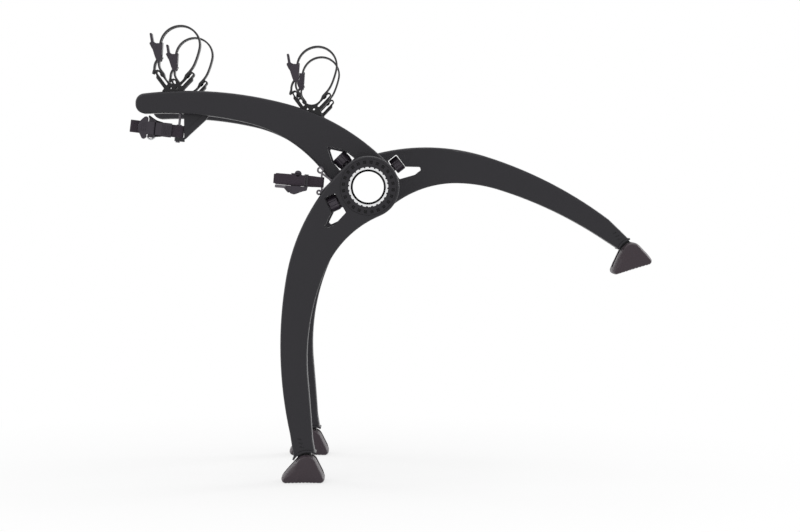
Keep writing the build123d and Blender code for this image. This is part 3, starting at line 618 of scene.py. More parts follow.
def worn_and_highlighted_edges() -> bpy.types.NodeTree:
    """A mask of the edges that hands and straps rub smooth and where a painted highlight goes,
    broken up by noise.
    """
    kind = SocketKind
    takes = {"Radius": kind.VALUE, "Strength": kind.VALUE}
    group = EffectGroup("Worn and highlighted edges", takes, {"Mask": kind.VALUE})
    wires, source = group.wires, group.source
    rounded = wires.node("ShaderNodeBevel", {"Radius": source["Radius"]}, samples=4)
    plain = wires.node("ShaderNodeNewGeometry").outputs["Normal"]
    normals = {0: rounded.outputs["Normal"], 1: plain}
    same = wires.node("ShaderNodeVectorMath", normals, operation="DOT_PRODUCT")
    edge = wires.range(same.outputs["Value"], (0.995, 0.80), (0.0, 1.0))
    spot = wires.place()
    broken = wires.range(wires.noise(spot, 160.0, 3.0, 0.6), (0.35, 0.62), (0.25, 1.0))
    # This mask carries both rubbed wear and a painted edge highlight.
    return group.finish(Mask=wires.scaled(wires.scaled(edge, broken), source["Strength"]))


def flat_weave() -> bpy.types.NodeTree:
    """Close cross ribs of woven strap, with lengthways yarns and firm edges, with painted shade in
    the grooves and a painted highlight on the rib crests.
    """
    kind = SocketKind
    group = EffectGroup(
        "Flat weave",
        {"Colour": kind.COLOUR, "Rib": kind.VALUE, "Yarn": kind.VALUE, "Half width": kind.VALUE},
        {"Colour": kind.COLOUR, "Roughness": kind.VALUE, "Height": kind.VALUE},
    )
    wires, source = group.wires, group.source
    flat = wires.node("ShaderNodeTexCoord").outputs["UV"]
    spot = wires.node("ShaderNodeSeparateXYZ", {0: flat}).outputs
    along = wires.sum("DIVIDE", wires.scaled(spot["X"], 2 * math.pi), source["Rib"])
    across = wires.sum("DIVIDE", wires.scaled(spot["Y"], 2 * math.pi), source["Yarn"])
    yarns = wires.sum("SINE", across)
    waves = wires.sum("ADD", along, wires.scaled(yarns, 0.8))
    ribs = wires.sum("ABSOLUTE", wires.sum("SINE", waves))
    height = wires.sum("ADD", ribs, wires.scaled(yarns, 0.35))
    selvedge = wires.range(wires.sum("ABSOLUTE", spot["Y"]), (0.0, 1.0), (0.0, 1.0))
    selvedge = wires.sum("DIVIDE", selvedge, source["Half width"])
    selvedge = wires.range(selvedge, (0.82, 0.94), (0.0, 1.0))
    height = wires.sum("ADD", height, wires.scaled(selvedge, 0.5))
    fuzz = wires.noise(wires.place(), 900.0, 3.0, 0.7)
    # Painted shade and highlight: the colour darkens in the grooves between ribs and lightens on
    # their crests, with random fuzz on top.
    tone = wires.sum("ADD", wires.range(ribs, (0.0, 1.0), (0.55, 1.2)), wires.scaled(fuzz, 0.4))
    rough = wires.range(fuzz, (0.2, 0.8), (0.62, 0.92))
    return group.finish(Colour=wires.shade(source["Colour"], tone), Roughness=rough, Height=height)


def drawn_lines() -> bpy.types.NodeTree:
    """Fine lines that extruding or drawing leaves along a metal piece."""
    kind = SocketKind
    group = EffectGroup(
        "Drawn lines",
        {"Colour": kind.COLOUR, "Stretch": kind.VECTOR, "Roughness": kind.VALUE},
        {"Colour": kind.COLOUR, "Roughness": kind.VALUE, "Height": kind.VALUE},
    )
    wires, source = group.wires, group.source
    spot = wires.place()
    made = wires.node("ShaderNodeVectorMath", {0: spot, 1: source["Stretch"]}, operation="MULTIPLY")
    lines = wires.noise(made.outputs["Vector"], 1.0, 4.0, 0.65)
    clouds = wires.noise(spot, 22.0, 2.0, 0.5)
    rough = wires.sum("ADD", source["Roughness"], wires.range(lines, (0.2, 0.8), (-0.08, 0.14)))
    rough = wires.sum("ADD", rough, wires.range(clouds, (0.3, 0.7), (-0.04, 0.06)))
    tone = wires.range(lines, (0.25, 0.75), (0.86, 1.0))
    return group.finish(Colour=wires.shade(source["Colour"], tone), Roughness=rough, Height=lines)


def bore_mask() -> bpy.types.NodeTree:
    """A mask that is 1 on the inner wall of a tube along the piece's own Y axis, and 0 outside; it
    places the bore's painted shade.
    """
    kind = SocketKind
    group = EffectGroup("Bore mask", {"Radius": kind.VALUE}, {"Mask": kind.VALUE})
    wires, source = group.wires, group.source
    spot = wires.node("ShaderNodeSeparateXYZ", {0: wires.place()}).outputs
    square = wires.sum("ADD", *(wires.scaled(spot[axis], spot[axis]) for axis in "XZ"))
    inside = wires.sum("LESS_THAN", wires.sum("SQRT", square), source["Radius"])
    return group.finish(Mask=inside)


# Finishes


@dataclass(frozen=True)
class MouldedFinish:
    """Moulded plastic or rubber with a fine grain, and edges painted lighter for both rubbed wear
    and a painted highlight.
    """

    name: str
    colour: Colour
    roughness: float
    specular: float
    grain_scale: float
    grain_depth: float
    tone: float = 0.16
    edge_radius: float = 0.7
    edge_wear_and_highlight_strength: float = 0.35
    # The lighter edge colour stands for rubbed wear together with a painted edge highlight.
    edge_wear_and_highlight_colour: Colour = (0.035, 0.034, 0.036)
    sheen: float = 0.0

    def build(self) -> bpy.types.Material:
        """Makes the material."""
        material, wires, shader = new_material(self.name)
        grain = group_node(wires, "Moulded grain", moulded_grain)
        values = {"Colour": (*self.colour, 1), "Scale": self.grain_scale, "Tone": self.tone}
        for key, value in {**values, "Roughness": self.roughness}.items():
            wires.feed(value, grain.inputs[key])
        edges = group_node(wires, "Worn and highlighted edges", worn_and_highlighted_edges)
        wires.feed(self.edge_radius * MILLIMETRE, edges.inputs["Radius"])
        wires.feed(self.edge_wear_and_highlight_strength, edges.inputs["Strength"])
        # Edges get the lighter colour: partly rubbed wear, partly a painted highlight.
        colour = wires.mix(edges.outputs["Mask"], grain.outputs["Colour"], (*self.edge_wear_and_highlight_colour, 1))
        normal = wires.bump(grain.outputs["Height"], 0.5, self.grain_depth)
        wires.feed(colour, shader.inputs["Base Color"])
        wires.feed(grain.outputs["Roughness"], shader.inputs["Roughness"])
        wires.feed(normal, shader.inputs["Normal"])
        shader.inputs["Specular IOR Level"].default_value = self.specular
        shader.inputs["Sheen Weight"].default_value = self.sheen
        shader.inputs["Sheen Roughness"].default_value = 0.5
        return material


@dataclass(frozen=True)
class MetalFinish:
    """Drawn or plated metal, with painted shade darkening its bore's inner wall if it has one."""

    name: str
    colour: Colour
    roughness: float
    stretch: Triple
    bore_radius: float = 0.0
    # Painted shade: the dark colour given to the bore's inner wall.
    painted_bore_shade: Colour = (0.02, 0.02, 0.022)
    line_depth: float = 0.03

    def build(self) -> bpy.types.Material:
        """Makes the material."""
        material, wires, shader = new_material(self.name)
        lines = group_node(wires, "Drawn lines", drawn_lines)
        wires.feed((*self.colour, 1), lines.inputs["Colour"])
        wires.feed(self.stretch, lines.inputs["Stretch"])
        wires.feed(self.roughness, lines.inputs["Roughness"])
        colour, rough = lines.outputs["Colour"], lines.outputs["Roughness"]
        shader.inputs["Metallic"].default_value = 1.0
        if self.bore_radius:
            bore = group_node(wires, "Bore mask", bore_mask)
            wires.feed(self.bore_radius * MILLIMETRE, bore.inputs["Radius"])
            mask = bore.outputs["Mask"]
            # The bore's inner wall is painted dark and matt, as painted shade.
            colour = wires.mix(mask, colour, (*self.painted_bore_shade, 1))
            rough = wires.sum("MAXIMUM", rough, mask)
            wires.feed(wires.sum("SUBTRACT", 1.0, mask), shader.inputs["Metallic"])
        normal = wires.bump(lines.outputs["Height"], 0.35, self.line_depth)
        wires.feed(colour, shader.inputs["Base Color"])
        wires.feed(rough, shader.inputs["Roughness"])
        wires.feed(normal, shader.inputs["Normal"])
        return material


@dataclass(frozen=True)
class WovenFinish:
    """Woven polyester strap."""

    name: str
    colour: Colour
    rib: float
    yarn: float
    half_width: float
    depth: float = 0.25

    def build(self) -> bpy.types.Material:
        """Makes the material."""
        material, wires, shader = new_material(self.name)
        weave = group_node(wires, "Flat weave", flat_weave)
        wires.feed((*self.colour, 1), weave.inputs["Colour"])
        sizes = {"Rib": self.rib, "Yarn": self.yarn, "Half width": self.half_width}
        for key, value in sizes.items():
            wires.feed(value * MILLIMETRE, weave.inputs[key])
        normal = wires.bump(weave.outputs["Height"], 0.8, self.depth)
        wires.feed(weave.outputs["Colour"], shader.inputs["Base Color"])
        wires.feed(weave.outputs["Roughness"], shader.inputs["Roughness"])
        wires.feed(normal, shader.inputs["Normal"])
        shader.inputs["Specular IOR Level"].default_value = 0.25
        shader.inputs["Sheen Weight"].default_value = 0.3
        shader.inputs["Sheen Roughness"].default_value = 0.4
        return material


def new_material(name: str) -> tuple[bpy.types.Material, Wiring, bpy.types.Node]:
    """Starts a material.

    Args:
        name: Its name.

    Returns:
        The material, the wiring of its tree, and its main shader.
    """
    material = bpy.data.materials.new(name)
    material.use_nodes = True
    return material, Wiring(material.node_tree), material.node_tree.nodes["Principled BSDF"]


def group_node(wires: Wiring, name: str, build: Callable[[], bpy.types.NodeTree]) -> bpy.types.Node:
    """Places an effect group in a material."""
    return wires.node("ShaderNodeGroup", node_tree=EffectGroup.named(name, build))


class Finish(Enum):
    """The rack's finishes, each with the material slot that it stands for."""

    BEAM = (
        "arc_plastic",
        MouldedFinish(
            "Satin beam plastic",
            colour=(0.0150, 0.0138, 0.0178),
            roughness=0.40,
            specular=0.34,
            grain_scale=1500.0,
            grain_depth=0.05,
        ),
    )
    TUBE = (
        "tube_metal",
        MetalFinish(
            "Extruded aluminium",
            colour=(0.86, 0.86, 0.87),
            roughness=0.30,
            stretch=(260.0, 5.0, 260.0),
            bore_radius=27.9,
        ),
    )
    RING = (
        "ring_plastic",
        MouldedFinish(
            "Index ring plastic",
            colour=(0.0125, 0.0110, 0.0150),
            roughness=0.42,
            specular=0.34,
            grain_scale=1700.0,
            grain_depth=0.05,
            edge_wear_and_highlight_strength=0.25,
        ),
    )
    KNOB = (
        "knob_plastic",
        MouldedFinish(
            "Lock knob plastic",
            colour=(0.042, 0.0330, 0.0460),
            roughness=0.38,
            specular=0.42,
            grain_scale=1800.0,
            grain_depth=0.04,
        ),
    )
    FOOT = (
        "foot_rubber",
        MouldedFinish(
            "Foot rubber",
            colour=(0.030, 0.0185, 0.0255),
            roughness=0.46,
            specular=0.42,
            grain_scale=1100.0,
            grain_depth=0.05,
            tone=0.25,
            edge_wear_and_highlight_strength=0.15,
            sheen=0.08,
        ),
    )
    CRADLE = (
        "cradle_rubber",
        MouldedFinish(
            "Cradle rubber",
            colour=(0.0085, 0.008, 0.0092),
            roughness=0.46,
            specular=0.32,
            grain_scale=1300.0,
            grain_depth=0.05,
            edge_wear_and_highlight_strength=0.2,
        ),
    )
    STRAP = (
        "strap_rubber",
        MouldedFinish(
            "Strap rubber",
            colour=(0.024, 0.023, 0.025),
            roughness=0.38,
            specular=0.45,
            grain_scale=1600.0,
            grain_depth=0.03,
            edge_wear_and_highlight_strength=0.15,
        ),
    )
    BUCKLE = (
        "buckle_plastic",
        MouldedFinish(
            "Buckle plastic",
            colour=(0.029, 0.0225, 0.033),
            roughness=0.36,
            specular=0.42,
            grain_scale=1500.0,
            grain_depth=0.05,
        ),
    )
    STEEL = (
        "steel",
        MetalFinish(
            "Zinc plated steel",
            colour=(0.62, 0.62, 0.64),
            roughness=0.28,
            stretch=(90.0, 90.0, 90.0),
        ),
    )
    DARK_STEEL = (
        "steel",
        MetalFinish(
            "Blackened steel",
            colour=(0.15, 0.14, 0.155),
            roughness=0.32,
            stretch=(90.0, 90.0, 90.0),
        ),
    )
    WEBBING = (
        "webbing",
        WovenFinish(
            "Woven strap",
            colour=(0.034, 0.0255, 0.035),
            rib=1.5,
            yarn=1.1,
            half_width=10.0,
        ),
    )

    def __init__(self, slot: str, look: MouldedFinish | MetalFinish | WovenFinish) -> None:
        """Keeps the slot's name and the look."""
        self.slot = slot
        self.look = look
        self.made: bpy.types.Material | None = None

    def material(self) -> bpy.types.Material:
        """The finish's material, made when it is first asked for."""
        if self.made is None:
            self.made = self.look.build()
        return self.made

    @classmethod
    def of_slot(cls, slot: str) -> "Finish":
        """The finish that stands for a material slot."""
        return next(finish for finish in cls if finish.slot == slot)


# Places


def saddle_place(x: float, y: float, z: float, tilt: float) -> Matrix:
    """A place whose own X and Z are turned anticlockwise by tilt degrees, as seen along +Y."""
    return Matrix.Translation((x, y, z)) @ Matrix.Rotation(math.radians(-tilt), 4, "Y")


class Side(Enum):
    """The rack's two sides, with the places of the arm and of the lower leg along the tube."""

    NEAR = ("near", -157.0, -200.0)
    FAR = ("far", 157.0, 200.0)

    def __init__(self, word: str, arm_y: float, leg_y: float) -> None:
        """Keeps the side's name and places."""
        self.word = word
        self.arm_y = arm_y
        self.leg_y = leg_y


class Spot(Enum):
    """The two cradles on an arm, with the place of each saddle's lowest point."""

    OUTER = ("outer", -312.0, 165.66)
    INNER = ("inner", -92.0, 132.51)

    def __init__(self, word: str, x: float, z: float) -> None:
        """Keeps the cradle's name and place."""
        self.word = word
        self.x = x
        self.z = z


# Sub-assemblies


@dataclass
class CarriedNodes:
    """The CAD nodes as they are dressed: all get a finish, and some get rounded edges too."""

    frame: dict
    rounding: tuple[tuple[str, float], ...] = (
        ("index_ring", 0.4),
        ("lock_knob", 0.3),
        ("lock_pawl", 0.3),
        ("tip_strap_bracket", 0.8),
    )
    weld_distance: float = 0.002
    flat_angle: float = 0.5
    blackened: tuple[str, ...] = ("hub_strap_link", "tip_strap_pin")

    def dress(self) -> None:
        """Gives every node its finish, and rounds the edges of those that need it."""
        slots = {part["node"]: part["material_slot"] for part in self.frame["record"]["subparts"]}
        for name, node in self.frame["nodes"].items():
            finish = Finish.DARK_STEEL if name in self.blackened else Finish.of_slot(slots[name])
            material = finish.material()
            node.data.materials.clear()
            node.data.materials.append(material)
            for start, width in self.rounding:
                if name.startswith(start):
                    self.weld(node)
                    soften(node, width)
        log.info("dressed %d carried nodes", len(self.frame["nodes"]))

    def weld(self, node: bpy.types.Object) -> None:
        """Joins the node's split points and flat faces, so that its edges can be rounded."""
        weld = node.modifiers.new("welded", "WELD")
        weld.merge_threshold = self.weld_distance * MILLIMETRE
        flat = node.modifiers.new("flat faces", "DECIMATE")
        flat.decimate_type = "DISSOLVE"
        flat.angle_limit = math.radians(self.flat_angle)


@dataclass
class Foot:
    """A rubber foot: a pillow with a flat sole, and a slot in its top for the leg's tongue."""

    name: str
    pin: Point
    y: float
    turn: float
    width: float = 60.0
    sole_drop: float = 25.0
    head_radius: float = 18.6
    head_centre: Point = (-1.3, 1.3)
    flank_bulges: Point = (0.5, 0.8)
    bulge_share: float = 0.72
    toe: float = -41.5
    heel: float = 27.5
    corner: float = 6.5
    slot_width: float = 18.8
    slot_floor: float = -12.5
    roll: float = 13.0
    toe_inset: float = 13.0
    heel_inset: float = 6.0
    crown_inset: float = 4.5
    sole_inset: float = 2.5
    crown_share: float = 0.85
    toe_share: float = 0.8
    toe_start: float = 10.0
    middle_share: float = 0.45
    middle_offset: float = 2.0
    roll_step: int = 9
    sole_band: float = 0.5
    tread_pitch: float = 6.0
    tread_width: float = 1.6
    tread_depth: float = 0.5
    step: float = 0.9

    def outline(self) -> list[Point]:
        """The side outline, with treads across the sole."""
        low = self.corner - self.sole_drop
        head = (self.head_centre, self.head_radius)
        ends = [((x, low), self.corner) for x in (self.toe + self.corner, self.heel - self.corner)]
        circles = [head, *ends]
        share = self.bulge_share
        for (spot, radius), bulge in zip(ends, self.flank_bulges):
            pairs = zip(self.head_centre, spot)
            middle = tuple(top + (bottom - top) * share for top, bottom in pairs)
            circles.append((middle, self.head_radius + (radius - self.head_radius) * share + bulge))
        points = closed_resample(hull_of_circles(circles), self.step)
        return [(x, z + self.tread(x, z)) for x, z in points]

    def tread(self, x: float, z: float) -> float:
        """How far the sole is cut in at a point of the outline."""
        inside = self.toe + self.corner < x < self.heel - self.corner
        if not inside or z >= self.sole_band - self.sole_drop:
            return 0.0
        near = abs((x / self.tread_pitch) % 1.0 - 0.5) * self.tread_pitch
        return self.tread_depth * (1 - blend(self.tread_width / 2, self.tread_width, near))

    def inset(self, x: float, z: float) -> float:
        """How far the side face lies inside the outline: most at the toe, least at the sole."""
        toe, crown = self.toe * self.toe_share, self.head_radius * self.crown_share
        side = self.heel_inset + (self.toe_inset - self.heel_inset) * blend(self.toe_start, toe, x)
        side += (self.crown_inset - side) * blend(0.0, crown, z)
        middle = -self.sole_drop * self.middle_share
        return self.sole_inset + (side - self.sole_inset) * blend(-self.sole_drop, middle, z)

    def row(self, y: float, outline: Sequence[Point], clipped: bool = False) -> list[Vector]:
        """One ring of the foot, drawn in towards its middle as it nears a side face."""
        past = max(0.0, abs(y) - (self.width / 2 - self.roll)) / self.roll
        share = 1 - math.sqrt(max(0.0, 1 - past * past))
        across = (self.toe + self.heel) / 2 + self.middle_offset
        middle = (across, -self.sole_drop * self.middle_share)
        result = []
        for x, z in outline:
            reach = math.hypot(x - middle[0], z - middle[1])
            keep = 1 - share * self.inset(x, z) / reach
            x, z = middle[0] + (x - middle[0]) * keep, middle[1] + (z - middle[1]) * keep
            result.append(Vector((x, y, min(z, self.slot_floor) if clipped else z)))
        return result

    def build(self) -> bpy.types.Object:
        """Makes the foot and puts it in its node's place."""
        outline = self.outline()
        half, slot = self.width / 2, self.slot_width / 2
        turns = [math.radians(turn) for turn in range(0, 91, self.roll_step)]
        rolled = [half - self.roll * (1 - math.sin(turn)) for turn in turns]
        levels = [(y, False) for y in [slot, (slot + rolled[0]) / 2, *rolled]]
        order = [(-y, c) for y, c in reversed(levels)] + [(-slot, True), (slot, True)] + levels
        form = Form()
        form.loft([form.ring(self.row(y, outline, clipped)) for y, clipped in order])
        form.merge()
        place = saddle_place(self.pin[0], self.y, self.pin[1], self.turn)
        foot = form.piece(f"{self.name}_pad", place, Finish.FOOT)
        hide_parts(self.name)
        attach(foot, self.name)
        log.info("built %s", foot.name)
        return foot


@dataclass
class CradleSet:
    """A cradle on an arm with its ladder strap, base strap, ratchet buckle and lever."""

    side: Side
    spot: Spot
    tilt: float = -3.5
    width: float = 28.0
    saddle_radius: float = 16.0
    wing_rise: float = 50.0
    wing_length: float = 18.0
    wing_thickness: float = 11.5
    wing_root: float = 7.5
    tip_radius: float = 4.3
    tip_steps: Point = (2.5, 6.0)
    inner_wall: float = 2.2
    slot_width: float = 4.2
    slot_start: float = -5.0
    base_width: float = 37.0
    base_depth: float = 16.0
    base_waist: Point = (15.6, -9.0)
    base_foot: Point = (17.6, -11.6)
    tie_hole_radius: float = 1.8
    tie_hole_spread: float = 10.0
    tie_hole_drop: float = 7.0
    strap_width: float = 20.0
    strap_thickness: float = 3.0
    strap_gap: float = 0.05
    strap_start: float = 3.0
    thin_end: float = 0.25
    button_rise: float = 11.6
    button_radius: float = 2.4
    button_head: float = 3.4
    loop_width: float = 66.0
    loop_height: float = 96.0
    rung_count: int = 9
    rung_width: float = 10.0
    rung_length: float = 2.6
    grip_radius: float = 2.2
    cheek_gap: float = 0.3
    cheek: float = 2.0
    lever_gap: float = 0.4
    knuckle_radius: float = 2.6
    hub_radius: float = 3.0
    rivet_proud: float = 0.5
    column_step: float = 2.5
    path_step: float = 1.3
    base_path_step: float = 2.0
    grip_swells: tuple[Point, ...] = ((0.0, 0.55), (0.35, 1.0), (0.7, 1.0), (1.0, 0.6))
    finger_ribs: tuple[float, ...] = (0.14, 0.30, 0.46, 0.62)
    finger_rib_radii: Point = (0.75, 0.3)
    finger_rib_share: float = 0.78
    head_shares: Point = (0.95, 0.6)
    head_height_share: float = 0.55
    loop_shares: tuple[Point, ...] = (
        (0.470, 0.365),
        (0.562, 0.610),
        (0.085, 0.976),
        (-0.392, 0.677),
        (-0.397, 0.521),
        (-0.447, 0.385),
        (-0.505, 0.235),
        (-0.533, 0.145),
    )
    knuckle_shares: Point = (-0.362, 0.427)
    pivot_shares: Point = (-0.508, 0.594)
    cheek_shares: tuple[Point, ...] = (
        (-0.350, 0.662),
        (-0.500, 0.662),
        (-0.588, 0.590),
        (-0.485, 0.405),
        (-0.425, 0.352),
        (-0.342, 0.368),
    )
    floor_shares: tuple[Point, ...] = (
        (-0.359, 0.682),
        (-0.359, 0.479),
        (-0.338, 0.479),
        (-0.338, 0.682),
    )
    lever_shares: tuple[Point, ...] = (
        (-0.470, 0.560),
        (-0.432, 0.645),
        (-0.562, 0.682),
        (-0.612, 0.828),
        (-0.668, 0.822),
        (-0.622, 0.674),
        (-0.660, 0.660),
        (-0.552, 0.530),
    )

    def key(self) -> str:
        """The words that the set's node names end in."""
        return f"{self.side.word}_{self.spot.word}"

    def place(self) -> Matrix:
        """Where the saddle's lowest point is."""
        return saddle_place(self.spot.x, self.side.arm_y, self.spot.z, self.tilt)

    def on_wing(self, along: float, out: float) -> Point:
        """A point of the right wing: along its inner face, and out from that face."""
        way, outward = polar(1, self.wing_rise), polar(1, self.wing_rise - 90)
        rise = math.radians(self.wing_rise)
        base = (self.saddle_radius * math.sin(rise), self.saddle_radius * (1 - math.cos(rise)))
        x, z = (b + w * along + o * out for b, w, o in zip(base, way, outward))
        return (x, z)

    def on_strap(self, along: float) -> Point:
        """A point of the middle of a strap that lies on the right wing."""
        return self.on_wing(along, -self.strap_gap - self.strap_thickness / 2)

    def arc(
        self, centre: Point, radius: float, first: float, last: float, steps: int = 12
    ) -> list[Point]:
        """Points on an arc, its angles in degrees."""
        turns = (first + (last - first) * i / steps for i in range(steps + 1))
        spots = (polar(radius, turn) for turn in turns)
        return [(centre[0] + x, centre[1] + z) for x, z in spots]

    def cradle_outline(self) -> list[Point]:
        """The cradle's outer outline, from the saddle's left end along it and back by the base."""
        half = self.base_width / 2
        tip, rise = self.tip_radius, self.wing_rise
        crown = self.arc(self.on_wing(self.wing_length, tip), tip, rise + 90, rise - 90)
        step, full = (self.wing_length - reach for reach in self.tip_steps)
        wall = [self.on_wing(step, 2 * tip), self.on_wing(full, self.wing_thickness)]
        wall.append(self.on_wing(-self.wing_root, self.wing_thickness))
        base = [self.base_waist, self.base_foot, (half, -self.base_depth)]
        right = [self.on_wing(0, 0), *crown, *wall, *base]
        middle = (0, self.saddle_radius)
        saddle = self.arc(middle, self.saddle_radius, -90 - rise, -90 + rise, 24)
        return saddle[1:-1] + right + mirrored(reversed(right))

    def cradle_holes(self) -> list[list[Point]]:
        """The long slot in each wing, and the two tie holes below the saddle."""
        middle, radius = self.inner_wall + self.slot_width / 2, self.slot_width / 2
        first, last = self.on_wing(self.slot_start, middle), self.on_wing(self.wing_length, middle)
        slot = self.arc(first, radius, self.wing_rise + 90, self.wing_rise + 270)
        slot += self.arc(last, radius, self.wing_rise - 90, self.wing_rise + 90)
        spot = (self.tie_hole_spread / 2, -self.tie_hole_drop)
        tie = self.arc(spot, self.tie_hole_radius, 0, 345, 23)
        return [slot, mirrored(slot), tie, mirrored(tie)]

    def build_cradle(self) -> bpy.types.Object:
        """Makes the cradle, its edges soft as moulded rubber."""
        form = Form()
        form.slab([self.cradle_outline(), *self.cradle_holes()], -self.width / 2, self.width / 2)
        name = f"cradle_{self.key()}_rubber"
        piece = form.piece(name, self.place(), Finish.CRADLE, 0.7, STRAP_SHARP_ANGLE)
        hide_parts(f"cradle_{self.key()}")
        return self.ride(piece)

    def ride(self, piece: bpy.types.Object) -> bpy.types.Object:
        """Lets a piece move with the arm."""
        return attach(piece, f"arm_{self.side.word}")

    def add_button(self, form: Form, flip: float) -> None:
        """Adds the button at a strap's end, that holds it in the wing's inner wall."""
        spot, way = Vector(self.on_strap(self.button_rise)), Vector(polar(1, self.wing_rise - 90))
        stem = self.strap_thickness / 2 + self.strap_gap + self.inner_wall
        top = stem + self.button_head * self.head_height_share
        ends = [spot, spot + way * top]
        start, end = [(flip * end.x, 0.0, end.y) for end in ends]
        neck = stem / top
        profile = [(0, self.button_radius), (neck, self.button_radius), (neck, self.button_head)]
        shoulder, crown = (self.button_head * share for share in self.head_shares)
        profile += [((1 + neck) / 2, shoulder), (1, crown)]
        form.rod(start, end, profile)

    def build_ladder(self) -> bpy.types.Object:
        """Makes the long strap: rungs down to the buckle, and a grip at its free end."""
        knots = (self.on_strap(self.wing_length), *self.points(self.loop_shares))
        path = SmoothPath(self.on_strap(self.strap_start), polar(1, self.wing_rise), knots)
        form = Form()
        self.add_perforated(form, path.samples(self.path_step), self.rung_places(path), -1.0)
        rows = []
        for share, swell in self.grip_swells:
            place, radius = self.grip_place(path, share), self.grip_radius * swell
            section = strap_section(self.strap_width, 2 * radius, radius, 4)
            points = [(place.beside(out), across) for across, out in section]
            rows.append(form.ring([Vector((spot[0], across, spot[1])) for spot, across in points]))
        form.loft(rows)
        self.add_button(form, 1.0)
        name = f"ladder_strap_{self.key()}"
        piece = form.piece(f"{name}_rubber", self.place(), Finish.STRAP, 0.35, STRAP_SHARP_ANGLE)
        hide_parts(name)
        return self.ride(piece)

    def grip_place(self, path: SmoothPath, share: float) -> PathPoint:
        """A place on the last stretch of the strap, where it swells into the grip."""
        places = path.samples(1.0)
        total = places[-1].distance
        last = math.dist(path.knots[-1], path.knots[-2])
        wanted = total - last * (1 - share)
        return min(places, key=lambda place: abs(place.distance - wanted))

    def rung_places(self, path: SmoothPath) -> list[tuple[float, float]]:
        """Where each of the ladder's openings starts and ends along the strap."""
        whole = SmoothPath(path.start, path.heading, path.knots[:4]).samples(1.0)[-1].distance
        end = SmoothPath(path.start, path.heading, path.knots[:5]).samples(1.0)[-1].distance
        count, half = self.rung_count, self.rung_length / 2
        middles = [whole + (end - whole) * (i + 1) / (count + 1) for i in range(count)]
        return [(middle - half, middle + half) for middle in middles]

    def add_perforated(
        self, form: Form, places: Sequence[PathPoint], holes: Sequence[Point], wing_side: float
    ) -> None:
        """Adds a strap's band with openings, thin at its start, where it nears the saddle.

        Args:
            form: The mesh that it is added to.
            places: The places along the strap's middle.
            holes: Where each opening starts and ends along it.
            wing_side: 1 where the wing is on the path's left at its start, or -1 on its right.
        """
        half, open_half, rise = self.strap_width / 2, self.rung_width / 2, self.strap_thickness / 2
        beside = open_half + self.column_step
        columns = [-half, -beside, -open_half, 0.0, open_half, beside, half]
        places = self.with_hole_ends(places, holes)
        grid = []
        for face in (1.0, -1.0):
            rows = []
            for place in places:
                passed = self.strap_start + place.distance
                room = math.hypot(self.saddle_radius, passed) - self.saddle_radius
                thickness = max(self.thin_end, min(self.strap_thickness, room))
                out = face * rise if face == wing_side else wing_side * (rise - thickness)
                spot = place.beside(out)
                rows.append(form.ring([Vector((spot[0], across, spot[1])) for across in columns]))
            grid.append(rows)
        last = len(columns) - 1

        def solid(row: int, column: int) -> bool:
            """Whether the band is there between two rows and two columns."""
            if row < 0 or row >= len(places) - 1 or column < 0 or column >= last:
                return False
            middle = (places[row].distance + places[row + 1].distance) / 2
            inside = abs(columns[column] + columns[column + 1]) / 2 < open_half
            return not (inside and any(start < middle < end for start, end in holes))

        top, bottom = grid
        for row in range(len(places) - 1):
            for column in range(last):
                if not solid(row, column):
                    continue
                spots = [(row, column), (row, column + 1), (row + 1, column + 1), (row + 1, column)]
                for side in (top, bottom):
                    form.mesh.faces.new([side[r][c] for r, c in spots])
                steps = ((-1, 0), (0, 1), (1, 0), (0, -1))
                beyond = [(row + r, column + c) for r, c in steps]
                for index, (r, c) in enumerate(beyond):
                    if not solid(r, c):
                        (a, b), (d, e) = spots[index], spots[(index + 1) % 4]
                        form.mesh.faces.new([top[a][b], top[d][e], bottom[d][e], bottom[a][b]])

    @staticmethod
    def with_hole_ends(places: Sequence[PathPoint], holes: Sequence[Point]) -> list[PathPoint]:
        """The places with each one that is nearest to an opening's end moved onto it."""
        result = list(places)
        for edge in (edge for hole in holes for edge in hole):
            index = min(range(len(result)), key=lambda i: abs(result[i].distance - edge))
            near = result[index]
            shift = edge - near.distance
            spot = (near.spot[0] + near.heading[0] * shift, near.spot[1] + near.heading[1] * shift)
            result[index] = PathPoint(spot, near.heading, edge)
        return result

    def build_base(self) -> bpy.types.Object:
        """Makes the short strap that ties the buckle's knuckle to the left wing."""
        knuckle = self.points([self.knuckle_shares])[0]
        start, first = mirrored([self.on_strap(self.strap_start), self.on_strap(self.wing_length)])
        heading = mirrored([polar(1, self.wing_rise)])[0]
        form = Form()
        path = SmoothPath(start, heading, (first, knuckle))
        self.add_perforated(form, path.samples(self.base_path_step), (), 1.0)
        half = self.strap_width / 2
        ends = [(knuckle[0], -half, knuckle[1]), (knuckle[0], half, knuckle[1])]
        form.rod(*ends, barrel(self.knuckle_radius, self.knuckle_radius * 0.8))
        self.add_button(form, -1.0)
        name = f"base_strap_{self.key()}"
        return form.piece(name, self.place(), Finish.STRAP, 0.35, STRAP_SHARP_ANGLE)

    def points(self, shares: Sequence[Point]) -> list[Point]:
        """Points given as shares of the strap's loop."""
        return scaled(shares, self.loop_width, self.loop_height)

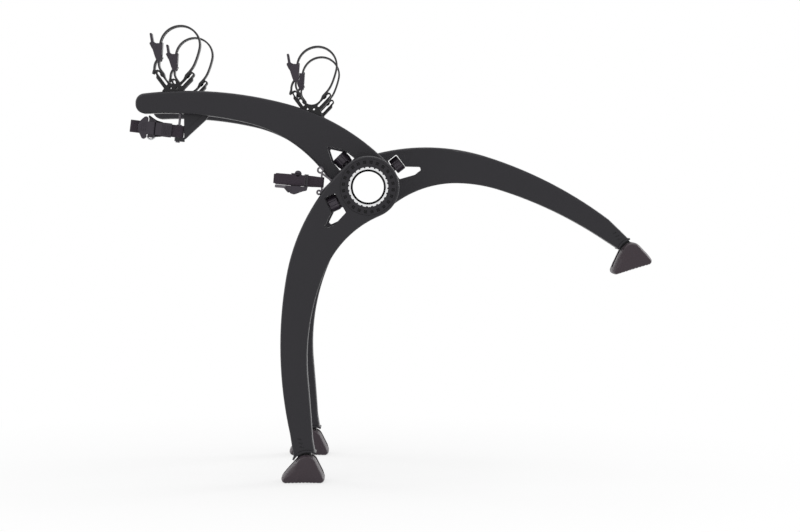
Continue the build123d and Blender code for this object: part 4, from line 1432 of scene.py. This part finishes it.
    def build_buckle(self) -> bpy.types.Object:
        """Makes the buckle's two cheeks and the floor that the ladder strap runs along."""
        inner = self.strap_width / 2 + self.cheek_gap
        outer = inner + self.cheek
        cheek = rounded_outline(self.points(self.cheek_shares), 3.0)
        pivot, knuckle = self.points([self.pivot_shares, self.knuckle_shares])
        form = Form()
        for low, high in ((-outer, -inner), (inner, outer)):
            form.slab([cheek], low, high)
            face, lift = (low, -self.rivet_proud) if low < 0 else (high, self.rivet_proud)
            for spot in (pivot, knuckle):
                ends = [(spot[0], face - lift, spot[1]), (spot[0], face + lift, spot[1])]
                form.rod(*ends, rivet(self.knuckle_radius, 0.75), RIVET_SIDES)
        floor, reach = rounded_outline(self.points(self.floor_shares), 0.4), inner + self.cheek / 2
        form.slab([floor], -reach, reach)
        name = f"buckle_base_{self.key()}"
        piece = form.piece(f"{name}_shell", self.place(), Finish.BUCKLE, round_edges=0.4)
        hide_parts(name)
        return self.ride(piece)

    def build_lever(self) -> bpy.types.Object:
        """Makes the ratchet lever: a wedge with finger ribs on its back and a thin pull tab."""
        half = self.strap_width / 2 + self.cheek_gap - self.lever_gap
        outline = rounded_outline(self.points(self.lever_shares), 2.2)
        form = Form()
        form.slab([outline], -half, half)
        pivot = self.points([self.pivot_shares])[0]
        ends = [(pivot[0], -half, pivot[1]), (pivot[0], half, pivot[1])]
        form.rod(*ends, [(0, self.hub_radius), (1, self.hub_radius)])
        top, bottom = (Vector(point) for point in self.points(self.lever_shares[6:8]))
        reach = half * self.finger_rib_share
        for share in self.finger_ribs:
            spot = top.lerp(bottom, share)
            ends = [(spot.x, -reach, spot.y), (spot.x, reach, spot.y)]
            form.rod(*ends, barrel(*self.finger_rib_radii, 0.04), RIB_SIDES)
        name = f"buckle_lever_{self.key()}"
        piece = form.piece(f"{name}_shell", self.place(), Finish.BUCKLE, round_edges=0.6)
        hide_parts(name)
        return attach(piece, f"lever_{self.key()}")

    def build(self) -> bpy.types.Object:
        """Makes the whole set.

        Returns:
            The base strap.
        """
        self.build_cradle()
        self.build_ladder()
        self.build_buckle()
        self.build_lever()
        log.info("built cradle set %s", self.key())
        return self.ride(self.build_base())


@dataclass
class TipStrap:
    """The strap set under the near arm's tip: webbing round a pin, a cam buckle and its lever."""

    pin: Point = (-305.4858, 90.5385)
    y: float = -157.0
    tilt: float = 7.0
    drop: float = 1.2
    webbing_width: float = 20.0
    webbing_thickness: float = 2.0
    gap: float = 0.1
    bush_radius: float = 4.0
    loop_slack: float = 2.6
    tail_length: float = 78.0
    plate_start: float = -11.0
    plate_length: float = 15.6
    plate_thickness: float = 3.0
    inner_end_reach: float = 5.5
    rib_count: int = 5
    rib_proud: float = 1.0
    rib_radii: Point = (0.85, 0.5)
    rib_share: float = 0.74
    plate_half: float = 11.4
    body_length: float = 22.0
    channel_half: float = 10.4
    body_halves: Point = (11.8, 15.6)
    horn_shares: tuple[Point, ...] = (
        (0.30, 0.80),
        (0.62, 0.98),
        (1.02, 1.30),
        (1.10, 1.22),
        (1.00, 0.90),
        (0.50, 0.60),
    )
    wall: float = 2.0
    cam_radius: float = 3.6
    cam_end_radius: float = 3.2
    rivet_radius: float = 2.6
    rivet_place: float = 0.7
    rivet_ends: Point = (-1.0, 0.8)
    thumb_length: float = 15.0
    thumb_thickness: float = 5.0
    thumb_height: float = 16.6
    thumb_shares: tuple[Point, ...] = (
        (0.00, 0.96),
        (-0.22, 1.10),
        (-0.45, 1.00),
        (-0.84, 0.60),
        (-1.00, 0.15),
        (-0.96, -0.35),
        (-0.48, -1.08),
        (-0.24, -1.14),
        (0.00, -0.96),
    )
    thumb_ribs: tuple[float, ...] = (0.2, 0.42, 0.64)
    thumb_rib_ends: Point = (-6.5, 8.5)
    thumb_rib_radii: Point = (0.7, 0.3)
    bail_shares: tuple[Point, ...] = (
        (-0.02, 0.90),
        (0.12, 1.12),
        (0.30, 1.16),
        (0.46, 1.02),
        (0.56, 0.84),
    )
    bail_radius: float = 1.3
    bail_sides: int = 14

    def place(self) -> Matrix:
        """Where the pin's middle is, with the set's own tilt about the tube's direction."""
        turn = Matrix.Rotation(math.radians(self.tilt), 4, "Y")
        return Matrix.Translation((self.pin[0], self.y, self.pin[1] - self.drop)) @ turn

    def turn_radius(self) -> float:
        """The radius of the webbing's middle round the pin's bush."""
        return self.bush_radius + self.gap + self.webbing_thickness / 2

    def build_webbing(self) -> bpy.types.Object:
        """Makes the webbing, from the cam round the pin and back to its folded tail."""
        side = self.turn_radius()
        fold = self.webbing_thickness / 2 + self.gap
        tail = fold - self.tail_length
        inner_end = -self.plate_length - self.body_length / 4 - self.inner_end_reach
        slack = self.loop_slack
        knots = ((slack, -side), (slack, side), (tail, side), (tail, side - 2 * fold))
        knots += ((self.thumb_length - self.tail_length, side - 2 * fold),)
        form = Form()
        section = strap_section(self.webbing_width, self.webbing_thickness, 0.8, 12)
        path = SmoothPath((inner_end, -side), (1, 0), knots)
        form.strip(path.samples(3.0), section, lambda place: 1.0)
        sharp = WEBBING_SHARP_ANGLE
        piece = form.piece("tip_strap_weave", self.place(), Finish.WEBBING, sharp=sharp)
        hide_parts("tip_strap_webbing")
        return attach(piece, "arm_near")

    def faces(self) -> tuple[float, float, float]:
        """The webbing's near face, its far face, and the rib tips' face, along Y."""
        near = -self.turn_radius() - self.webbing_thickness / 2 - self.gap
        far = -self.turn_radius() + self.webbing_thickness / 2 + self.gap
        return near, far, near - self.plate_thickness - self.rib_proud

    def body_ends(self) -> Point:
        """Where the channel starts and ends along X."""
        start = self.plate_start - self.plate_length
        return start, start - self.body_length

    def build_buckle(self) -> bpy.types.Object:
        """Makes the ribbed plate over the webbing, and the widening channel that holds the cam."""
        near, far, ribs = self.faces()
        plate_face = near - self.plate_thickness
        body_start, body_end = self.body_ends()
        right, left = self.body_halves
        form = Form()
        plate_half = self.plate_half
        form.block((body_start, plate_face, -plate_half), (self.plate_start, near, plate_half))
        pitch = self.plate_length / (self.rib_count + 1)
        reach = self.plate_half * self.rib_share
        for index in range(self.rib_count):
            x = self.plate_start - (index + 1) * pitch
            ends = [(x, plate_face, -reach), (x, plate_face, reach)]
            form.rod(*ends, barrel(*self.rib_radii, 0.04), RIB_SIDES)
        back = [(body_start, -right), (body_start, right), (body_end, left), (body_end, -left)]
        form.slab([back], far, far + self.wall)
        horn = [(body_start - u * self.body_length, v * left) for u, v in self.horn_shares]
        form.slab([rounded_outline(horn, 2.0)], near, far + self.wall)
        for way in (-1, 1):
            inner = way * self.channel_half
            outer = [(body_start, way * right), (body_end, way * left)]
            form.slab([[(body_start, inner), *outer, (body_end, inner)]], ribs, far)
        centre = self.cam_centre()
        cover_end = centre[0] + self.cam_radius + self.wall / 2
        share = (body_start - cover_end) / self.body_length
        high = right + (left - right) * share
        cover = [(body_start, -right), (body_start, right), (cover_end, high), (cover_end, -high)]
        form.slab([cover], ribs, near)
        for way in (-1, 1):
            end = right + (left - right) * self.rivet_place
            ends = [(*centre, way * (end + lift)) for lift in self.rivet_ends]
            form.rod(*ends, rivet(self.rivet_radius), RIVET_SIDES)
        piece = form.piece("tip_strap_buckle_shell", self.place(), Finish.BUCKLE, round_edges=0.6)
        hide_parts("tip_strap_buckle")
        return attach(piece, "arm_near")

    def build_bail(self) -> bpy.types.Object:
        """Makes the small wire bow below the channel."""
        near, _, _ = self.faces()
        _, body_end = self.body_ends()
        low = self.body_halves[1]
        spots = [(body_end + u * self.body_length, near, -v * low) for u, v in self.bail_shares]
        form = Form()
        for first, second in zip(spots, spots[1:]):
            form.rod(first, second, [(0, self.bail_radius), (1, self.bail_radius)], self.bail_sides)
        piece = form.piece("tip_strap_bail", self.place(), Finish.STEEL)
        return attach(piece, "arm_near")

    def cam_centre(self) -> Point:
        """The cam's axis in plan, in the channel's open part."""
        near, _, _ = self.faces()
        _, body_end = self.body_ends()
        return (body_end + 2 * self.cam_radius, near - self.cam_radius - self.gap)

    def build_lever(self) -> bpy.types.Object:
        """Makes the cam and the lever's wide thumb plate beyond the channel's end."""
        centre = self.cam_centre()
        inner = self.channel_half - self.gap
        _, body_end = self.body_ends()
        low = centre[1] - self.cam_radius
        high = low + self.thumb_thickness
        edge = body_end - self.gap - self.wall / 2
        form = Form()
        form.rod((*centre, -inner), (*centre, inner), barrel(self.cam_radius, self.cam_end_radius))
        form.block((edge, low, -inner), (centre[0], centre[1], inner))
        outline = scaled(self.thumb_shares, self.thumb_length, self.thumb_height)
        outline = [(edge + x, z) for x, z in outline]
        form.slab([rounded_outline(outline, 3.5)], low, high)
        for share in self.thumb_ribs:
            ends = [(edge - share * self.thumb_length, low, z) for z in self.thumb_rib_ends]
            form.rod(*ends, barrel(*self.thumb_rib_radii, 0.05), RIB_SIDES)
        piece = form.piece("tip_strap_lever_shell", self.place(), Finish.BUCKLE, round_edges=0.7)
        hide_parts("tip_strap_lever")
        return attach(piece, "tip_lever")

    def build(self) -> None:
        """Makes the whole set."""
        self.build_webbing()
        self.build_buckle()
        self.build_bail()
        self.build_lever()
        log.info("built the arm tip's strap set")


@dataclass
class HubStrap:
    """The strap set left of the hub: folded webbing on the wire link, a cam buckle and a lever."""

    side: Point = (-74.25, 7.425)
    y: float = -200.0
    tilt: float = 4.8
    wire: float = 3.0
    gap: float = 0.1
    webbing_width: float = 18.0
    link_share: float = 0.93
    pinch_reach: Point = (-3.0, -18.0)
    end_round: float = 3.2
    end_taper: float = 0.16
    webbing_thickness: float = 2.0
    start: float = 28.8
    length: float = 45.6
    layers: int = 5
    pitch: float = 2.9
    band_thickness: float = 1.6
    band_width: float = 16.0
    band_gap: float = 0.3
    band_place: float = 0.27
    bump_radius: float = 5.4
    bump_place: float = -38.5
    keeper: Point = (-28.2, -21.8)
    keeper_half: float = 9.6
    keeper_wall: float = 1.0
    under_plate: Point = (-73.6, -41.0)
    under_heights: Point = (-14.2, -9.4)
    cam_spot: Point = (-48.8, -14.6)
    cam_height: float = 8.4
    cam_width: float = 25.0
    cam_wall: float = 2.0
    cam_gap: float = 0.6
    rivet_radius: float = 2.5
    rivet_ends: Point = (-0.4, 0.5)
    cheek_shares: tuple[Point, ...] = (
        (-0.780, -0.52),
        (-0.690, -0.90),
        (-0.652, -1.20),
        (-0.560, -1.28),
        (-0.470, -1.09),
        (-0.380, -0.93),
        (-0.308, -0.86),
        (-0.296, -0.52),
    )
    lever_length: float = 16.0
    lever_gap: float = 0.4
    lever_shares: tuple[Point, ...] = (
        (0.00, 0.42),
        (-0.58, 0.22),
        (-0.64, 0.06),
        (-0.20, -0.74),
        (-0.06, -0.66),
        (0.00, -0.42),
    )

    def place(self) -> Matrix:
        """Where the link's upright side is, with the bundle's left end raised a little."""
        return saddle_place(self.side[0], self.y, self.side[1], -self.tilt)

    def width_share(self, place: PathPoint) -> float:
        """How much of its width the webbing keeps: less in the link and at the bundle's end."""
        pinched = self.link_share + (1 - self.link_share) * blend(*self.pinch_reach, place.spot[0])
        into = max(0.0, -place.spot[0] - self.end() + self.end_round) / self.end_round
        return pinched - self.end_taper * (1 - math.sqrt(max(0.0, 1 - min(1.0, into) ** 2)))

    def turn_radius(self) -> float:
        """The radius of the webbing's middle round the wire."""
        return self.wire / 2 + self.gap + self.webbing_thickness / 2

    def end(self) -> float:
        """How far left the bundle reaches."""
        return self.start + self.length

    def sides(self) -> Point:
        """How near and how far the bundle reaches along the tube."""
        far = self.turn_radius() + self.webbing_thickness / 2
        return -far - (self.layers - 1) * self.pitch, far

    def build_webbing(self) -> bpy.types.Object:
        """Makes the webbing: round the wire, then folded to and fro into a flat bundle."""
        side = self.turn_radius()
        knots: list[Point] = [(0, side), (0, -side)]
        for layer in range(self.layers - 1):
            end = -self.start if layer % 2 else -self.end()
            knots += [(end, -side), (end, -side - self.pitch)]
            side += self.pitch
        knots.append((-self.start if self.layers % 2 == 0 else -self.end(), -side))
        path = SmoothPath((-self.end(), self.turn_radius()), (1, 0), tuple(knots))
        form = Form()
        section = strap_section(self.webbing_width, self.webbing_thickness, 0.8, 10)
        form.strip(path.samples(1.5), section, self.width_share)
        sharp = WEBBING_SHARP_ANGLE
        piece = form.piece("hub_strap_weave", self.place(), Finish.WEBBING, sharp=sharp)
        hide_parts("hub_strap_webbing")
        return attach(piece, "hub_strap")

    def add_frame(
        self, form: Form, ends: Point, sides: Point, half: float, wall: float, front: bool
    ) -> None:
        """Adds a flat band round the webbing.

        Args:
            form: The mesh that it is added to.
            ends: Where it starts and ends along X.
            sides: Its inner faces along Y.
            half: Its inner faces' height above and below the middle.
            wall: Its thickness.
            front: Whether it passes over the nearer face as well.
        """
        (low_x, high_x), (near, far) = ends, sides
        lip = near - wall if front else near
        for low, high in ((-half - wall, -half), (half, half + wall)):
            form.block((low_x, lip, low), (high_x, far + wall, high))
        form.block((low_x, far, -half), (high_x, far + wall, half))
        if front:
            form.block((low_x, lip, -half), (high_x, near, half))

    def build_buckle(self) -> bpy.types.Object:
        """Makes the loop round the bundle with its raised top, and the cam buckle's cheeks."""
        near, far = self.sides()
        half = self.webbing_width / 2 + self.band_gap
        middle = -self.start - self.length * self.band_place
        ends = (middle - self.band_width / 2, middle + self.band_width / 2)
        form = Form()
        self.add_frame(form, ends, (near, far + self.band_gap), half, self.band_thickness, False)
        bump = [(self.bump_place, y, half + self.band_thickness * 0.6) for y in (near, far)]
        form.rod(*bump, barrel(self.bump_radius, self.bump_radius * 0.8, 0.06))
        centre_y, wide = (near + far) / 2, self.cam_width / 2
        cheek = rounded_outline(scaled(self.cheek_shares, self.end(), self.webbing_width), 2.0)
        for side_y in (centre_y - wide, centre_y + wide - self.cam_wall):
            form.slab([cheek], side_y, side_y + self.cam_wall)
        spot = self.cam_spot
        for face, way in ((centre_y - wide, -1), (centre_y + wide, 1)):
            ends_y = [(spot[0], face + lift * way, spot[1]) for lift in self.rivet_ends]
            form.rod(*ends_y, rivet(self.rivet_radius), RIVET_SIDES)
        piece = form.piece("hub_strap_buckle_shell", self.place(), Finish.BUCKLE, round_edges=0.45)
        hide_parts("hub_strap_buckle")
        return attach(piece, "hub_strap")

    def build_trims(self) -> None:
        """Makes the keeper between the bundle and the link, and the plate under the bundle."""
        near, far = self.sides()
        turn = self.turn_radius() + self.webbing_thickness / 2 + self.gap
        keeper = Form()
        self.add_frame(keeper, self.keeper, (-turn, turn), self.keeper_half, self.keeper_wall, True)
        piece = keeper.piece("hub_strap_keeper", self.place(), Finish.BUCKLE, round_edges=0.3)
        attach(piece, "hub_strap")
        plate = Form()
        low, high = self.under_heights
        left, right = self.under_plate
        outline = [(left, low), (right, low), (right, high), (left, high)]
        plate.slab([rounded_outline(outline, 1.6)], near, far)
        name = "hub_strap_under_plate"
        piece = plate.piece(name, self.place(), Finish.DARK_STEEL, round_edges=0.6)
        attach(piece, "hub_strap")

    def build_lever(self) -> bpy.types.Object:
        """Makes the cam with the short wedge that sticks out of the channel's end."""
        near, far = self.sides()
        centre_y = (near + far) / 2
        centre = self.cam_spot
        inner = self.cam_width / 2 - self.cam_wall - self.lever_gap
        radius = self.cam_height / 2 - self.cam_gap
        form = Form()
        ends = [(centre[0], centre_y - inner, centre[1]), (centre[0], centre_y + inner, centre[1])]
        form.rod(*ends, barrel(radius, radius * 0.9))
        wedge = scaled(self.lever_shares, self.lever_length, self.cam_height)
        wedge = [(centre[0] + x, centre[1] + z) for x, z in wedge]
        form.slab([rounded_outline(wedge, 1.6)], centre_y - inner, centre_y + inner)
        piece = form.piece("hub_strap_lever_shell", self.place(), Finish.BUCKLE, round_edges=0.5)
        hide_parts("hub_strap_lever")
        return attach(piece, "hub_lever")

    def build(self) -> None:
        """Makes the whole set."""
        self.build_webbing()
        self.build_buckle()
        self.build_trims()
        self.build_lever()
        log.info("built the hub's strap set")


# Light, floor and camera


@dataclass(frozen=True)
class Softbox:
    """A soft area lamp that faces the rack."""

    name: str
    place: Triple
    size: Point
    radiance: float
    aim: Triple = (0.0, 0.0, -0.1)

    def build(self) -> None:
        """Makes the lamp, its power worked out from its area."""
        lamp = bpy.data.lights.new(self.name, "AREA")
        lamp.shape = "RECTANGLE"
        lamp.size, lamp.size_y = self.size
        lamp.energy = self.radiance * math.pi * self.size[0] * self.size[1]
        lamp_object = bpy.data.objects.new(self.name, lamp)
        lamp_object.location = self.place
        way = Vector(self.aim) - Vector(self.place)
        lamp_object.rotation_euler = way.to_track_quat("-Z", "Y").to_euler()
        lamp_object.visible_camera = False
        bpy.context.scene.collection.objects.link(lamp_object)


@dataclass
class Studio:
    """A white studio: an even surround, soft lamps, a pale floor, and the photograph's camera."""

    floor_height: float
    surround: float = 0.72
    floor_size: float = 60.0
    floor_middle: Triple = (-0.1, 0.0, 0.0)
    shadow_reach: Point = (0.30, 0.95)
    floor_glow: float = 0.70
    floor_tone: float = 0.8
    shadow_tone: float = 0.22
    camera_distance: float = 4.035
    camera_turn: float = 0.757
    camera_drop: float = 1.885
    focal_length: float = 108.0
    lamps: tuple[Softbox, ...] = (
        Softbox("key", (-2.0, -2.6, 3.0), (2.4, 2.4), 1.8),
        Softbox("right rim", (2.9, 1.7, 1.1), (1.8, 2.6), 4.2),
        Softbox("left rim", (-3.0, 1.5, 0.9), (1.6, 2.6), 2.4),
        Softbox("top", (0.0, 0.5, 3.4), (3.0, 2.4), 1.4),
    )

    def seen_mask(self, wires: Wiring) -> bpy.types.NodeSocket:
        """1 for rays that show the surround itself: camera, glossy and transmission rays."""
        rays = wires.node("ShaderNodeLightPath").outputs
        shown = wires.sum("MAXIMUM", rays["Is Camera Ray"], rays["Is Glossy Ray"])
        return wires.sum("MAXIMUM", shown, rays["Is Transmission Ray"])

    def build_surround(self) -> None:
        """Makes the white surround, dimmer where it only lights the rack."""
        world = bpy.data.worlds.new("White surround")
        bpy.context.scene.world = world
        world.use_nodes = True
        wires = Wiring(world.node_tree)
        background = world.node_tree.nodes["Background"]
        background.inputs["Color"].default_value = (1, 1, 1, 1)
        strength = wires.range(self.seen_mask(wires), (0.0, 1.0), (self.surround, 1.0))
        wires.feed(strength, background.inputs["Strength"])

    def build_floor(self) -> bpy.types.Object:
        """Makes the floor, which shows white but keeps the rack's shadow."""
        half = self.floor_size / 2
        mesh = bpy.data.meshes.new("floor")
        corners = [(-half, -half, 0), (half, -half, 0), (half, half, 0), (-half, half, 0)]
        mesh.from_pydata(corners, [], [(0, 1, 2, 3)])
        floor = bpy.data.objects.new("floor", mesh)
        floor.location.z = self.floor_height
        bpy.context.scene.collection.objects.link(floor)
        material = bpy.data.materials.new("White floor")
        material.use_nodes = True
        tree = material.node_tree
        tree.nodes.clear()
        wires = Wiring(tree)
        plain, shaded = (
            wires.node("ShaderNodeBsdfDiffuse", {"Color": (tone, tone, tone, 1)}).outputs[0]
            for tone in (self.floor_tone, self.shadow_tone)
        )
        lights = ({"Color": (1, 1, 1, 1), "Strength": level} for level in (self.floor_glow, 1.0))
        glow, white = (wires.node("ShaderNodeEmission", light).outputs[0] for light in lights)
        places = {0: wires.place(), 1: self.floor_middle}
        away = wires.node("ShaderNodeVectorMath", places, operation="DISTANCE")
        clear = wires.range(away.outputs["Value"], self.shadow_reach, (0.0, 1.0))
        near = wires.node("ShaderNodeAddShader", {0: shaded, 1: glow}).outputs[0]
        seen = wires.node("ShaderNodeMixShader", {0: clear, 1: near, 2: white}).outputs[0]
        choice = {0: self.seen_mask(wires), 1: plain, 2: seen}
        both = wires.node("ShaderNodeMixShader", choice).outputs[0]
        wires.node("ShaderNodeOutputMaterial", {"Surface": both})
        mesh.materials.append(material)
        return floor

    def build_camera(self) -> None:
        """Makes the camera level with the tube, turned a little right and down."""
        camera = bpy.data.cameras.new("camera")
        camera.sensor_width = 36.0
        camera.lens = self.focal_length
        camera.clip_start, camera.clip_end = 0.1, 100.0
        camera_object = bpy.data.objects.new("camera", camera)
        camera_object.location = (0.0, -self.camera_distance, 0.0)
        turn = (math.radians(90 - self.camera_drop), 0.0, math.radians(-self.camera_turn))
        camera_object.rotation_euler = turn
        bpy.context.scene.collection.objects.link(camera_object)
        bpy.context.scene.camera = camera_object

    def build(self) -> None:
        """Makes the whole studio."""
        bpy.context.scene.view_settings.view_transform = "Standard"
        self.build_surround()
        self.build_floor()
        self.build_camera()
        for lamp in self.lamps:
            lamp.build()
        log.info("built the studio with %d lamps", len(self.lamps))


def build_feet() -> None:
    """Makes the three feet."""
    for side in Side:
        Foot(f"foot_lower_{side.word}", polar(LEG_REACH, LOWER_PIN_ANGLE), side.leg_y, 0.0).build()
    Foot("foot_upper", polar(LEG_REACH, UPPER_PIN_ANGLE), 0.0, UPPER_FOOT_TURN).build()


def build_cradles() -> None:
    """Makes the four cradle sets, and hides each arm's CAD base straps."""
    for side in Side:
        bases = [CradleSet(side, spot).build() for spot in Spot]
        for base in bases:
            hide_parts(f"base_straps_{side.word}")


def main() -> None:
    """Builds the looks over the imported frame, in order."""
    logging.basicConfig(level=logging.INFO, format="%(name)s: %(message)s")
    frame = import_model()
    CarriedNodes(frame).dress()
    build_feet()
    build_cradles()
    TipStrap().build()
    HubStrap().build()
    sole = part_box("foot_lower_near")[0].z
    Studio(floor_height=sole - FLOOR_GAP * MILLIMETRE).build()


if __name__ == "__main__":
    main()
